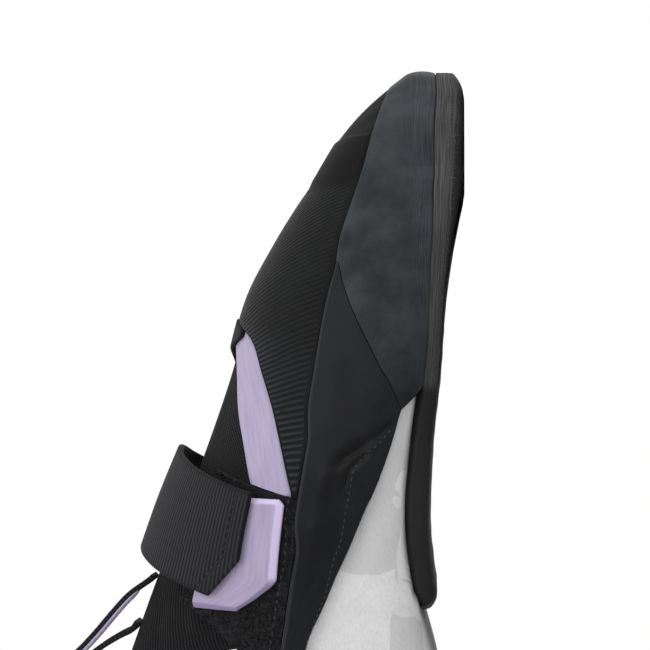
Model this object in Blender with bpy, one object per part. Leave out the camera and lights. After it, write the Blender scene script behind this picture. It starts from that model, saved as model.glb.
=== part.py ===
"""Climbing shoe for the right foot: a downturned last under a suede upper, with rubber sole and rands,
a knit tongue and one hook-and-loop strap.

X points to the outer (little toe) side, Y to the toe, Z up, in metres. Every piece is cut from one
surface, the skin of the last. A place on it has two numbers:
  way   0 to 1 outer side from heel to toe, 1 to 2 round the toe, 2 to 3 inner side back to the heel,
        3 to 4 round the heel
  rise  0 on the line under the foot, 1 on the crest over it
and a third number, stand, is the distance out from the skin.
"""
import bpy
import numpy as np
from mathutils import Matrix, Vector, kdtree

# Driving sizes
LENGTH = 0.2335          # last, back of the heel to the tip of the toe
BALL_WIDTH = 0.084       # across the ball of the foot
HEEL_WIDTH = 0.054       # across the heel
INSTEP_HEIGHT = 0.0865   # top of the foot above the floor, at the instep
HEEL_HEIGHT = 0.073      # back of the collar above the floor
ARCH_LIFT = 0.0097       # how far the downturned middle stands clear of the floor

GAP = 0.0003             # between pieces that are glued or sewn together
WALL = 0.002             # suede upper
KNIT = 0.0016            # tongue
BOARD = 0.0012           # insole
SOLE = 0.0043            # sole and heel rubber
EDGE_LIP = 0.002         # sole rubber where its ground edge meets the rand
EDGE_BEVEL = 0.0045      # width of the ground edge
RAND = 0.0018            # rand rubber
HEEL_SIDE = 0.0021       # heel rubber up the sides
PATCH = 0.0016           # ribbed rubber over the toes
TRIM = 0.0007            # moulded edge of the throat
PILE = 0.001             # loop half of the fastening
TAB = 0.0018             # moulded grip under the strap's end
WEBBING = 0.0016         # strap
STRAP_STAND = 0.006      # height of the strap's bridge over the tongue
LOOP_WIDTH = 0.010       # pull loop
LOOP_WEBBING = 0.0016
LOOP_STAND = 0.014       # height of the pull loop over the tongue

# Section of the sole's ground edge: share of its width, and of the height from its lip to the tread.
GROUND_EDGE = [(0.33, 0.80), (0.67, 0.44), (1.0, 0.0)]

GROUND = SOLE + GAP      # underside of the last above the floor, where the shoe stands

# How finely the skin is cut into faces
SIDE_STEPS = 18
ROUND_STEPS = 12
FLAT_EDGE = 0.20         # rise where the flat underside ends
WALL_START = 0.36        # rise where the corner has turned up into the side
RISES = [0, 0.1, 0.2, 0.24, 0.28, 0.31, 0.36, 0.42, 0.48, 0.54, 0.60, 0.66, 0.72, 0.78, 0.85, 0.92, 1]
TRIM_RISES = np.linspace(0.5, 1, 14)
CLOSE_ROWS = [0.333, 0.655, 0.670, 0.682, 0.686, 0.690, 0.694, 0.698, 0.702]   # at the throat, of LENGTH
WAY_SNAP = 0.009
RISE_SNAP = 0.012
WELD = 2e-6


def table(columns, rows):
    """A table as one array for each named column."""
    return dict(zip(columns.split(), np.array(rows, float).T))


# Outline of the foot. along is a share of LENGTH, outer and inner are shares of the local width.
OUTLINE = table("along outer inner", [
    (0.000, 0.50, 0.48),
    (0.120, 0.51, 0.49),
    (0.214, 0.546, 0.51),
    (0.300, 0.578, 0.507),
    (0.385, 0.554, 0.442),
    (0.471, 0.526, 0.399),
    (0.557, 0.506, 0.423),
    (0.642, 0.470, 0.476),
    (0.728, 0.405, 0.492),
    (0.792, 0.331, 0.474),
    (0.835, 0.256, 0.444),
    (0.878, 0.175, 0.402),
])
LOCAL_WIDTH = table("along ball", [(0, 0), (0.25, 0), (0.55, 1), (1, 1)])

# Line under the foot that the sections fan out from. spine is a share of BALL_WIDTH.
SPINE = table("along spine", [(0.12, 0), (0.385, 0.024), (0.60, 0.018), (0.75, -0.048), (0.878, -0.167)])

# Outline round the toe, seen from the end of the spine. reach is a share of BALL_WIDTH.
TOE_ROUND = table("turn reach", [
    (0, 0.342), (25, 0.307), (45, 0.285), (65, 0.298), (80, 0.325), (92, 0.338),
    (105, 0.333), (120, 0.295), (140, 0.250), (160, 0.231), (180, 0.235),
])

# Sections. crest, side are shares of INSTEP_HEIGHT, lean and corner of BALL_WIDTH; full is how square
# the dome over the foot is, 2 being an ellipse.
SECTIONS = table("along crest lean side full corner", [
    (0.000, 1.364, 0.000, 0.173, 2.60, 0.143),
    (0.120, 1.272, 0.000, 0.173, 2.60, 0.155),
    (0.200, 1.184, 0.000, 0.160, 2.35, 0.148),
    (0.300, 1.080, -0.012, 0.143, 2.10, 0.138),
    (0.385, 1.000, -0.030, 0.131, 1.92, 0.125),
    (0.471, 0.913, -0.048, 0.120, 1.86, 0.112),
    (0.557, 0.827, -0.065, 0.110, 1.88, 0.100),
    (0.642, 0.751, -0.083, 0.101, 1.92, 0.091),
    (0.728, 0.688, -0.095, 0.094, 1.98, 0.084),
    (0.792, 0.601, -0.113, 0.088, 2.06, 0.078),
    (0.835, 0.532, -0.131, 0.084, 2.14, 0.074),
    (0.878, 0.457, -0.149, 0.081, 2.20, 0.071),
    (0.921, 0.405, -0.167, 0.079, 2.20, 0.067),
    (0.964, 0.347, -0.179, 0.077, 2.20, 0.063),
    (1.000, 0.277, -0.179, 0.075, 2.20, 0.060),
])

# Arch and toe spring: lift of the underside as a share of ARCH_LIFT, none at the heel and forefoot.
LIFT = table("along lift", [
    (0, 0), (0.20, 0), (0.30, 0.30), (0.385, 0.79), (0.47, 1.0), (0.557, 0.92), (0.642, 0.71),
    (0.728, 0.56), (0.792, 0.35), (0.835, 0.15), (0.87, 0), (0.965, 0), (1.0, 0.10),
])

# Edges of the pieces along the shoe, as a rise for each share of LENGTH.
SOLE_LINE = table("along rise", [
    (0.401, 0.241), (0.43, 0.246), (0.50, 0.258), (0.57, 0.246), (0.68, 0.238), (0.725, 0.248),
    (0.767, 0.266), (0.797, 0.278), (0.828, 0.296), (0.861, 0.316), (0.93, 0.321), (1.0, 0.311),
])
RAND_TOP = table("along rise", [
    (0, 0.585), (0.12, 0.58), (0.22, 0.552), (0.311, 0.524), (0.365, 0.509), (0.411, 0.501), (0.446, 0.494),
    (0.48, 0.504), (0.564, 0.506), (0.607, 0.524), (0.673, 0.531), (0.751, 0.531), (0.789, 0.551),
    (0.84, 0.571), (0.875, 0.589), (1.0, 0.592),
])
SIDE_BAND_FOOT = table("along rise", [
    (0, 0.51), (0.12, 0.51), (0.22, 0.502), (0.306, 0.489), (0.341, 0.476), (0.381, 0.446), (0.417, 0.421),
    (0.453, 0.393), (0.484, 0.373), (0.53, 0.343), (0.57, 0.321), (0.601, 0.31),
])
THROAT = table("along rise", [
    (0.326, 0.590), (0.364, 0.595), (0.43, 0.585), (0.514, 0.572), (0.563, 0.632), (0.60, 0.690),
    (0.644, 0.765), (0.674, 0.830), (0.686, 0.900), (0.694, 1.0),
])
TRIM_OUTER = table("along rise", [
    (0.509, 0.524), (0.563, 0.578), (0.60, 0.624), (0.644, 0.699), (0.678, 0.770), (0.690, 0.830),
    (0.698, 0.915), (0.702, 1.0),
])
TRIM_INNER = table("along rise", [
    (0.509, 0.622), (0.563, 0.694), (0.60, 0.757), (0.644, 0.835), (0.668, 0.900), (0.686, 1.0),
])
PILE_TOP = table("along rise", [
    (0.305, 0.555), (0.324, 0.585), (0.356, 0.652), (0.391, 0.755), (0.43, 0.775), (0.535, 0.765),
])

# Edges of the pieces across the shoe, as a share of LENGTH for each rise.
SOLE_END = table("rise along", [(0, 0.368), (0.1, 0.371), (0.2, 0.380), (0.24, 0.399), (1, 0.399)])
FRONT_RAND_END = table("rise along", [(0, 0.630), (0.24, 0.630), (0.31, 0.601), (0.526, 0.764), (1, 0.80)])
HEEL_FRONT = table("rise along", [(0, 0.270), (0.2, 0.262), (0.36, 0.215), (0.51, 0.160), (1, 0.10)])
TONGUE_TOP = table("rise along", [(0, 0.333), (0.59, 0.333), (0.75, 0.312), (0.90, 0.284), (1, 0.278)])
PILE_FRONT = table("rise along", [(0, 0.502), (0.51, 0.502), (0.765, 0.532), (1, 0.532)])
MARGIN_END = table("rise along", [(0, 0.41), (0.05, 0.415), (0.1, 0.43), (0.11, 0.45), (1, 0.45)])

# Collar height behind the tongue, as a share of HEEL_HEIGHT.
COLLAR = table("along height", [
    (0, 1.0), (0.05, 0.96), (0.12, 0.865), (0.20, 0.80), (0.27, 0.795), (0.31, 0.82),
])

INSOLE_EDGE = 0.18       # rise of the insole's edge

# Strap. across runs over the foot like a rise, past 1 on the inner side; stand is a share of STRAP_STAND.
STRAP = table("across front rear stand", [
    (0.60, 0.507, 0.385, 0.62),
    (0.70, 0.518, 0.398, 0.74),
    (0.80, 0.529, 0.409, 0.88),
    (0.90, 0.540, 0.420, 0.98),
    (1.00, 0.548, 0.428, 1.00),
    (1.10, 0.541, 0.421, 0.84),
    (1.20, 0.530, 0.410, 0.60),
    (1.30, 0.519, 0.399, 0.38),
    (1.40, 0.508, 0.389, 0.24),
    (1.47, 0.503, 0.384, 0.23),
])
STRAP_POINT = 0.055      # how far the strap's rear corner is cut back
STRAP_POINT_START = 0.6  # share of the width where that cut starts
STRAP_STEPS = 20

# Grip under the strap's end: rise of its edge for each share of LENGTH, and where it ends under the strap.
TAB_EDGE = table("along rise", [
    (0.376, 0.602), (0.395, 0.558), (0.415, 0.528), (0.495, 0.532), (0.502, 0.545),
])
TAB_TOP = 0.70

# Pull loop on the tongue, from under the strap out to its fold and back. stand is a share of LOOP_STAND.
PULL_LOOP = table("along stand", [
    (0.402, 0.085), (0.390, 0.20), (0.372, 0.40), (0.350, 0.57), (0.325, 0.74), (0.303, 0.90), (0.290, 1.00),
    (0.281, 1.01), (0.277, 0.94), (0.281, 0.86), (0.295, 0.72), (0.312, 0.52), (0.327, 0.30),
    (0.337, 0.14), (0.348, 0.085),
])


def curve(tab, column, x):
    """Smooth curve through a column of a table, with no overshoot between its rows."""
    names = list(tab)
    xs = tab[names[0]]
    ys = tab[column]
    gaps = np.diff(xs)
    slopes = np.diff(ys) / gaps
    tangents = np.zeros_like(ys)
    tangents[0] = slopes[0]
    tangents[-1] = slopes[-1]
    for i in range(1, len(xs) - 1):
        if slopes[i - 1] * slopes[i] > 0:
            before = 2 * gaps[i] + gaps[i - 1]
            after = gaps[i] + 2 * gaps[i - 1]
            tangents[i] = (before + after) / (before / slopes[i - 1] + after / slopes[i])
    x = np.clip(x, xs[0], xs[-1])
    i = np.clip(np.searchsorted(xs, x) - 1, 0, len(xs) - 2)
    s = (x - xs[i]) / gaps[i]
    return ((1 + 2 * s) * (1 - s) ** 2 * ys[i] + s * (1 - s) ** 2 * gaps[i] * tangents[i]
            + s * s * (3 - 2 * s) * ys[i + 1] + s * s * (s - 1) * gaps[i] * tangents[i + 1])


HEEL_Y = OUTLINE["along"][1] * LENGTH
TOE_Y = OUTLINE["along"][-1] * LENGTH
TOE_X = SPINE["spine"][-1] * BALL_WIDTH


def width(y):
    """Width that the outline's shares are taken of, from the heel's to the ball's."""
    return HEEL_WIDTH + (BALL_WIDTH - HEEL_WIDTH) * curve(LOCAL_WIDTH, "ball", y / LENGTH)


def outer_edge(y):
    return curve(OUTLINE, "outer", y / LENGTH) * width(y)


def inner_edge(y):
    return -curve(OUTLINE, "inner", y / LENGTH) * width(y)


def spine_x(y):
    return curve(SPINE, "spine", y / LENGTH) * BALL_WIDTH


def section(column, y, size):
    return curve(SECTIONS, column, y / LENGTH) * size


def underside(y):
    """Height of the last's flat underside."""
    return GROUND + ARCH_LIFT * curve(LIFT, "lift", y / LENGTH)


def outer_way(along):
    """Way of a place on the outer side, from its share of LENGTH."""
    return (along * LENGTH - HEEL_Y) / (TOE_Y - HEEL_Y)


def inner_way(along):
    return 3 - outer_way(along)


def ray(way):
    """Root on the spine, direction and reach of the section at each way."""
    way = np.asarray(way, float) % 4
    leg = np.floor(way).astype(int)
    part = way - leg
    y = np.select([leg == 0, leg == 2], [HEEL_Y + (TOE_Y - HEEL_Y) * part, TOE_Y - (TOE_Y - HEEL_Y) * part],
                  np.where(leg == 1, TOE_Y, HEEL_Y))
    x = np.where(leg == 1, TOE_X, np.where(leg == 3, 0.0, spine_x(y)))
    turn = np.select([leg == 0, leg == 1, leg == 2], [0 * part, 180 * part, 0 * part + 180], 180 + 180 * part)
    dx = np.cos(np.radians(turn))
    dy = np.sin(np.radians(turn))
    tip = curve(TOE_ROUND, "reach", 92.0) * BALL_WIDTH
    half = np.where(dx > 0, outer_edge(HEEL_Y), -inner_edge(HEEL_Y))
    heel = 1 / np.sqrt((dx / half) ** 2 + (dy / HEEL_Y) ** 2)
    toe = curve(TOE_ROUND, "reach", turn) * BALL_WIDTH
    reach = np.select([leg == 0, leg == 1, leg == 2], [outer_edge(y) - x, toe, x - inner_edge(y)], heel)
    dy = np.where(leg == 1, dy * (LENGTH - TOE_Y) / tip, dy)
    return x, y, dx, dy, reach


def along(way):
    """Share of LENGTH at the outline, where the edges' tables are read."""
    _x, y, _dx, dy, reach = ray(way)
    return (y + dy * reach) / LENGTH


def skin(way, rise):
    """Points of the last's skin."""
    way, rise = np.broadcast_arrays(np.asarray(way, float), np.asarray(rise, float))
    root_x, root_y, dx, dy, reach = ray(way)
    corner = section("corner", root_y + dy * reach, BALL_WIDTH)
    full = section("full", root_y + 0.7 * dy * reach, 1)
    up = np.clip((rise - WALL_START) / (1 - WALL_START), 0, 1) * np.pi / 2
    turn = np.clip((rise - FLAT_EDGE) / (WALL_START - FLAT_EDGE), 0, 1) * np.pi / 2
    over = reach * np.cos(up).clip(0) ** (2 / full)
    round_corner = reach - corner + corner * np.sin(turn) ** 0.9
    flat = (reach - corner) * np.clip(rise / FLAT_EDGE, 0, 1)
    out = np.where(rise >= WALL_START, over, np.where(rise >= FLAT_EDGE, round_corner, flat))
    y = root_y + dy * out
    floor = underside(y)
    side = section("side", y, INSTEP_HEIGHT)
    crest = section("crest", y, INSTEP_HEIGHT)
    share = np.where(rise >= WALL_START, np.sin(up), 0)
    z = np.where(rise >= WALL_START, floor + side + (crest - floor - side) * share,
                 floor + side * (1 - np.cos(turn).clip(0) ** 0.9))
    x = root_x + dx * out + (section("lean", y, BALL_WIDTH) - root_x) * share
    return np.stack([x, y, z], -1)


def skin_normal(way, rise, step=1e-3, pole=0.004):
    """Outward normals, read a little off the spine and crest, where the sections meet."""
    rise = np.clip(rise, pole, 1 - pole)
    round_way = skin(way + step, rise) - skin(way - step, rise)
    up_way = skin(way, rise + step) - skin(way, rise - step)
    normal = np.cross(round_way, up_way)
    return normal / np.linalg.norm(normal, axis=-1, keepdims=True)


def same_points(points):
    """For each point, the number of the first point that lies where it does."""
    tree = kdtree.KDTree(len(points))
    for index, point in enumerate(points):
        tree.insert(Vector(point), index)
    tree.balance()
    return [min(hit[1] for hit in tree.find_range(Vector(point), WELD)) for point in points]


def shared_normals(points, normals):
    """The same normal for every sample of one point, such as all sections at the tip of the spine."""
    first = same_points(points.reshape(-1, 3))
    sums = np.zeros((len(first), 3))
    np.add.at(sums, first, normals.reshape(-1, 3))
    shared = sums[first]
    shared /= np.linalg.norm(shared, axis=-1, keepdims=True)
    return shared.reshape(normals.shape)


def at_rise(tab):
    """Rise of an edge at each way."""
    return lambda way: curve(tab, "rise", along(way))


def moved(edge, distance):
    """An edge moved up the skin by a distance, in metres."""
    def place(way):
        rise = edge(way)
        rate = np.linalg.norm(skin(way, rise + 0.01) - skin(way, rise - 0.01), axis=-1) / 0.02
        return np.where(rise >= 1, 1, np.minimum(rise + distance / rate, 1))
    return place


def at_end(tab, distance=0.0, inner=False):
    """Way of an edge across the shoe at each rise, moved towards the toe by a distance."""
    side = inner_way if inner else outer_way
    return lambda rise: side(np.interp(rise, tab["rise"], tab["along"]) + distance / LENGTH)


def rise_at_height(way, height):
    """Rise where the skin reaches a height, on the side and the dome."""
    low = np.full(np.shape(way), WALL_START)
    high = np.ones(np.shape(way))
    for _ in range(30):
        middle = (low + high) / 2
        below = skin(way, middle)[..., 2] < height
        low = np.where(below, middle, low)
        high = np.where(below, high, middle)
    return (low + high) / 2


def side_rows(finer):
    """Ways of the sections along the outer side: evenly spaced, with those of CLOSE_ROWS in place of the
    ones next to them."""
    even = np.arange(SIDE_STEPS * finer + 1) / (SIDE_STEPS * finer)
    close = outer_way(np.array(CLOSE_ROWS))
    near = np.abs(even[:, None] - close[None, :]).min(axis=1) < 0.4 / (SIDE_STEPS * finer)
    return np.sort(np.concatenate([even[~near], close]))


def stations(start, end, finer):
    """Ways of the sections between two ways, both ends included, with finer - 1 more in each step."""
    side = side_rows(finer)
    turn = np.arange(ROUND_STEPS * finer) / (ROUND_STEPS * finer)
    round_trip = np.concatenate([side[:-1], 1 + turn, 3 - side[:0:-1], 3 + turn])
    trips = np.concatenate([round_trip, round_trip + 4])
    snap = WAY_SNAP / finer
    inside = trips[(trips > start + snap) & (trips < end - snap)]
    return np.concatenate([[start], inside, [end]])


def held(values, low, high, snap):
    """Values held between two limits, and drawn to a limit that is close."""
    values = np.where(values - low < snap, low, values)
    return np.where(high - values < snap, high, values)


def patch(start, end, low, high, rises=RISES, finer=1):
    """Ways and rises of a piece of skin inside four edges, on the same rows and columns for every piece."""
    every = np.linspace(0, 1, 50)
    rows = stations(start(every).min(), end(every).max(), finer)[:, None]
    columns = np.array(rises, float)[None, :]
    ways = rows + 0 * columns
    lifts = columns + 0 * rows
    for _ in range(5):
        lifts = held(columns + 0 * rows, low(ways), high(ways), RISE_SNAP)
        ways = held(rows + 0 * columns, start(lifts), end(lifts), WAY_SNAP / finer)
    used = [0] + [j for j in range(1, columns.size) if np.any(np.abs(lifts[:, j] - lifts[:, j - 1]) > 1e-9)]
    return ways[:, used], lifts[:, used]


def whole(value):
    """An edge at one place all along."""
    return lambda other: np.full(np.shape(other), float(value))


def sheet_points(ways, rises, stand):
    """Points at a stand from the skin, with normals shared where sections meet."""
    base = skin(ways, rises)
    normals = shared_normals(base, skin_normal(ways, rises))
    return base + normals * np.broadcast_to(stand, ways.shape)[..., None]


def grid_faces(rows, columns, first, turned):
    """Quads of a grid of points numbered from first."""
    faces = []
    for i in range(rows - 1):
        for j in range(columns - 1):
            a = first + i * columns + j
            quad = (a, a + columns, a + columns + 1, a + 1)
            faces.append(quad[::-1] if turned else quad)
    return faces


def rim_faces(rows, columns, second):
    """Quads that join the borders of two grids of one size, the second numbered from second."""
    border = [i * columns for i in range(rows)]
    border += [(rows - 1) * columns + j for j in range(1, columns)]
    border += [i * columns + columns - 1 for i in range(rows - 2, -1, -1)]
    border += [j for j in range(columns - 2, 0, -1)]
    faces = []
    for k, a in enumerate(border):
        b = border[(k + 1) % len(border)]
        faces.append((b, a, a + second, b + second))
    return faces


def solid(name, outside, inside, finish):
    """A closed sheet between two grids of points. Points that coincide are made one, and the two walls
    that then meet along a spine or a crest cancel."""
    rows, columns = outside.shape[:2]
    points = np.concatenate([outside.reshape(-1, 3), inside.reshape(-1, 3)])
    count = rows * columns
    faces = grid_faces(rows, columns, 0, False) + grid_faces(rows, columns, count, True)
    faces += rim_faces(rows, columns, count)
    first = same_points(points)
    kept = {}
    for face in faces:
        ring = [first[v] for v in face]
        ring = [v for k, v in enumerate(ring) if v != ring[k - 1]]
        if len(set(ring)) < 3 or len(set(ring)) < len(ring):
            continue
        key = frozenset(ring)
        if key in kept:
            del kept[key]
        else:
            kept[key] = ring
    used = sorted({v for ring in kept.values() for v in ring})
    number = {v: k for k, v in enumerate(used)}
    rings = [[number[v] for v in ring] for ring in kept.values()]
    mesh = bpy.data.meshes.new(name)
    mesh.from_pydata([tuple(points[v]) for v in used], [], rings)
    mesh.validate()
    if enclosed_volume(mesh) < 0:
        mesh.flip_normals()
    mesh.shade_smooth()
    mesh.set_sharp_from_angle(angle=np.radians(35))
    mesh.materials.append(finish)
    piece = bpy.data.objects.new(name, mesh)
    bpy.context.scene.collection.objects.link(piece)
    return piece


def enclosed_volume(mesh):
    """Volume inside a closed mesh, negative where its faces point in."""
    total = 0.0
    for polygon in mesh.polygons:
        corners = [mesh.vertices[v].co for v in polygon.vertices]
        for k in range(1, len(corners) - 1):
            total += corners[0].dot(corners[k].cross(corners[k + 1])) / 6
    return total


def cut_sheet(name, ways, rises, stand_in, stand_out, finish):
    """A piece between two stands over a patch of skin."""
    return solid(name, sheet_points(ways, rises, stand_out), sheet_points(ways, rises, stand_in), finish)


def finish(name, colour, roughness):
    """A Principled material from linear colour and roughness; nothing on the shoe is metal."""
    material = bpy.data.materials.new(name)
    material.use_nodes = True
    shader = material.node_tree.nodes["Principled BSDF"]
    shader.inputs["Base Color"].default_value = (*colour, 1)
    shader.inputs["Roughness"].default_value = roughness
    material.diffuse_color = (*colour, 1)
    return material


def upper_edge(way):
    """Top of the upper: throat over the foot, collar round the ankle."""
    place = along(way)
    throat = curve(THROAT, "rise", place)
    collar = rise_at_height(way, curve(COLLAR, "height", place) * HEEL_HEIGHT)
    blend = np.clip((place - COLLAR["along"][-1]) / (CLOSE_ROWS[0] - COLLAR["along"][-1]), 0, 1)
    return np.where(place > THROAT["along"][-1], 1, collar + (throat - collar) * blend)


def margin_edge(way):
    """Bottom edge of the upper: open inside the forefoot sole, closed behind it."""
    place = along(way)
    opening = np.interp(place, MARGIN_END["along"][:-1], MARGIN_END["rise"][:-1])
    return np.where(place < MARGIN_END["along"][0], 0, opening)


def make_upper(suede):
    """Suede shell, open at the throat and collar and inside the forefoot sole."""
    ways, rises = patch(whole(0), whole(4), margin_edge, upper_edge)
    return cut_sheet("upper", ways, rises, -WALL, 0, suede)


def make_insole(board):
    """Thin board on the shell's turned-under edge."""
    ways, rises = patch(whole(0), whole(4), whole(0), whole(INSOLE_EDGE))
    top = WALL + GAP + BOARD
    return cut_sheet("insole", ways, rises, -top, -WALL - GAP, board)


def make_outsole(rubber):
    """Half sole under the forefoot and arch, ground to a bevel all round."""
    line = at_rise(SOLE_LINE)
    fold = moved(line, -EDGE_BEVEL)
    ways, rises = patch(
        at_end(SOLE_END, EDGE_BEVEL / 2), at_end(SOLE_END, EDGE_BEVEL / 2, True), whole(0), fold)
    ends = [at_end(SOLE_END), at_end(SOLE_END, inner=True)]
    ways = np.vstack([ends[0](rises[:1]), ways, ends[1](rises[-1:])])
    rises = np.vstack([rises[:1], rises, rises[-1:]])
    edge_ways = ways[:, -1:]
    width_up = line(edge_ways) - rises[:, -1:]
    rises = np.hstack([rises] + [rises[:, -1:] + width_up * part for part, _stand in GROUND_EDGE])
    ways = np.hstack([ways] + [edge_ways] * len(GROUND_EDGE))
    stand = np.full(ways.shape, GROUND)
    lip = GAP + EDGE_LIP
    for column, (_part, height) in enumerate(GROUND_EDGE, -len(GROUND_EDGE)):
        stand[:, column] = lip + (GROUND - lip) * height
    stand[0, :] = lip
    stand[-1, :] = lip
    return cut_sheet("outsole", ways, rises, GAP, stand, rubber)


def make_front_rand(rubber):
    """Rubber band round the toe, over the sole's edge."""
    ways, rises = patch(
        at_end(FRONT_RAND_END), at_end(FRONT_RAND_END, inner=True),
        moved(at_rise(SOLE_LINE), GAP), at_rise(RAND_TOP))
    return cut_sheet("front_rand", ways, rises, GAP, GAP + RAND, rubber)


def make_side_rand(rubber):
    """Tension band from the front rand back round the heel."""
    start = at_end(FRONT_RAND_END, -1.6 * GAP, inner=True)
    end = at_end(FRONT_RAND_END, -1.6 * GAP)
    ways, rises = patch(
        start, lambda rise: end(rise) + 4, at_rise(SIDE_BAND_FOOT), at_rise(RAND_TOP))
    return cut_sheet("side_rand", ways, rises, GAP, GAP + RAND, rubber)


def make_heel_cup(rubber):
    """Moulded rubber under and round the heel, thick below and thin up the sides."""
    start = at_end(HEEL_FRONT, inner=True)
    end = at_end(HEEL_FRONT)
    ways, rises = patch(start, lambda rise: end(rise) + 4, whole(0), moved(at_rise(SIDE_BAND_FOOT), -GAP))
    sides = np.clip((rises - FLAT_EDGE) / (WALL_START - FLAT_EDGE), 0, 1)
    stand = GROUND + (GAP + HEEL_SIDE - GROUND) * sides
    stand[0, :] = GAP + HEEL_SIDE
    stand[-1, :] = GAP + HEEL_SIDE
    return cut_sheet("heel_cup", ways, rises, GAP, stand, rubber)


def make_toe_patch(rubber):
    """Ribbed rubber over the toes, with the throat's point cut out of its back."""
    start = TRIM_OUTER["along"][0]
    ways, rises = patch(
        whole(outer_way(start)), whole(inner_way(start)),
        moved(at_rise(RAND_TOP), GAP), moved(at_rise(TRIM_OUTER), -2 * GAP))
    return cut_sheet("toe_patch", ways, rises, GAP, GAP + PATCH, rubber)


def make_throat_trim(plastic):
    """Moulded strip along both sides of the throat, over the seam of upper and tongue."""
    point = TRIM_OUTER["along"][-1]
    legs = []
    for inner, side in ((False, outer_way), (True, inner_way)):
        tail = at_end(PILE_FRONT, 2 * GAP, inner)
        start, end = (whole(side(point)), tail) if inner else (tail, whole(side(point)))
        legs.append(patch(start, end, at_rise(TRIM_OUTER), at_rise(TRIM_INNER), TRIM_RISES, 4))
    ways, rises = (np.vstack([leg[k] for leg in legs]) for k in (0, 1))
    return cut_sheet("throat_trim", ways, rises, GAP, GAP + TRIM, plastic)


def make_tongue(knit):
    """Knit tongue that fills the throat, flush with the upper."""
    legs = []
    throat = moved(at_rise(THROAT), GAP)
    for inner, side in ((False, outer_way), (True, inner_way)):
        top = at_end(TONGUE_TOP, inner=inner)
        tip = whole(side(THROAT["along"][-1] - 2 * GAP / LENGTH))
        start, end = (tip, top) if inner else (top, tip)
        legs.append(patch(start, end, throat, whole(1)))
    columns = min(leg[0].shape[1] for leg in legs)
    ways, rises = (np.vstack([leg[k][:, -columns:] for leg in legs]) for k in (0, 1))
    return cut_sheet("tongue", ways, rises, -KNIT, 0, knit)


def make_loop_patch(pile):
    """Loop half of the fastening, on the outer side under the strap."""
    ways, rises = patch(
        whole(outer_way(PILE_TOP["along"][0])), at_end(PILE_FRONT),
        moved(at_rise(RAND_TOP), 2 * GAP), at_rise(PILE_TOP), RISES, 2)
    return cut_sheet("loop_patch", ways, rises, GAP, GAP + PILE, pile)


def make_strap_tab(plastic):
    """Moulded grip under the strap's end."""
    start, end = TAB_EDGE["along"][0], TAB_EDGE["along"][-1]
    rows = np.array([0, 0.06, 0.14, 0.3, 0.5, 0.7, 0.9, 1])[:, None]
    part = np.array([0, 0.2, 0.4, 0.6, 0.8, 1])[None, :]
    ways = outer_way(start + (end - start) * rows) + 0 * part
    edge = at_rise(TAB_EDGE)(ways)
    rises = edge + (TAB_TOP - edge) * part
    low = 2 * GAP + PILE
    return cut_sheet("strap_tab", ways, rises, low, low + TAB, plastic)


def make_strap(webbing):
    """Webbing from the inner side over the tongue to the grip on the outer side."""
    place = np.array([0, 0.2, 0.4, 0.6, 0.8, 1])[None, :]
    point = STRAP_POINT * np.clip((place - STRAP_POINT_START) / (1 - STRAP_POINT_START), 0, 1)
    run = np.linspace(0, 1, STRAP_STEPS)[:, None]
    first, last = STRAP["across"][0], STRAP["across"][-1]
    across = first + point + (last - first - point) * run
    front = curve(STRAP, "front", across)
    rear = curve(STRAP, "rear", across)
    where = front + (rear - front) * place
    ways = np.where(across > 1, inner_way(where), outer_way(where))
    rises = np.where(across > 1, 2 - across, across)
    stand = curve(STRAP, "stand", across) * STRAP_STAND
    return cut_sheet("strap", ways, rises, stand, stand + WEBBING, webbing)


def make_tongue_loop(webbing):
    """Pull loop of webbing on the top of the tongue."""
    steps = 3
    rows = PULL_LOOP["along"].size
    fine = np.linspace(0, rows - 1, steps * (rows - 1) + 1)
    index = np.arange(rows, dtype=float)
    place = smooth_through(index, PULL_LOOP["along"], fine)
    stand = smooth_through(index, PULL_LOOP["stand"], fine) * LOOP_STAND
    way = outer_way(place)
    crest = skin(way, np.ones_like(way))
    slope = skin(way + 0.01, np.ones_like(way)) - skin(way - 0.01, np.ones_like(way))
    up = np.stack([0 * way, -slope[:, 2], slope[:, 1]], -1)
    up /= np.linalg.norm(up, axis=-1, keepdims=True)
    middle = crest + up * stand[:, None]
    middle[:, 0] = crest[:, 0].mean()
    run = np.gradient(middle, axis=0)
    side = np.stack([0 * way, -run[:, 2], run[:, 1]], -1)
    side /= np.linalg.norm(side, axis=-1, keepdims=True)
    width_way = np.array([-0.5, 0, 0.5]) * LOOP_WIDTH
    spread = middle[:, None, :] + width_way[None, :, None] * np.array([1.0, 0, 0])
    half = side[:, None, :] * LOOP_WEBBING / 2
    return solid("tongue_loop", spread + half, spread - half, webbing)


def smooth_through(xs, ys, x):
    """Rounded curve through evenly numbered points (Catmull-Rom)."""
    i = np.clip(np.floor(x).astype(int), 0, len(xs) - 2)
    s = x - i
    before = ys[np.clip(i - 1, 0, None)]
    after = ys[np.clip(i + 2, None, len(xs) - 1)]
    a, b = ys[i], ys[i + 1]
    return (a + 0.5 * s * (b - before + s * (2 * before - 5 * a + 4 * b - after
            + s * (3 * (a - b) + after - before))))


def stand_on_origin(pieces):
    """Move all pieces so that the origin is under the middle of the shoe, on the floor."""
    corners = np.array([tuple(v.co) for piece in pieces for v in piece.data.vertices])
    low, high = corners.min(axis=0), corners.max(axis=0)
    shift = Vector((-(low[0] + high[0]) / 2, -(low[1] + high[1]) / 2, 0))
    for piece in pieces:
        piece.data.transform(Matrix.Translation(shift))


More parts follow.
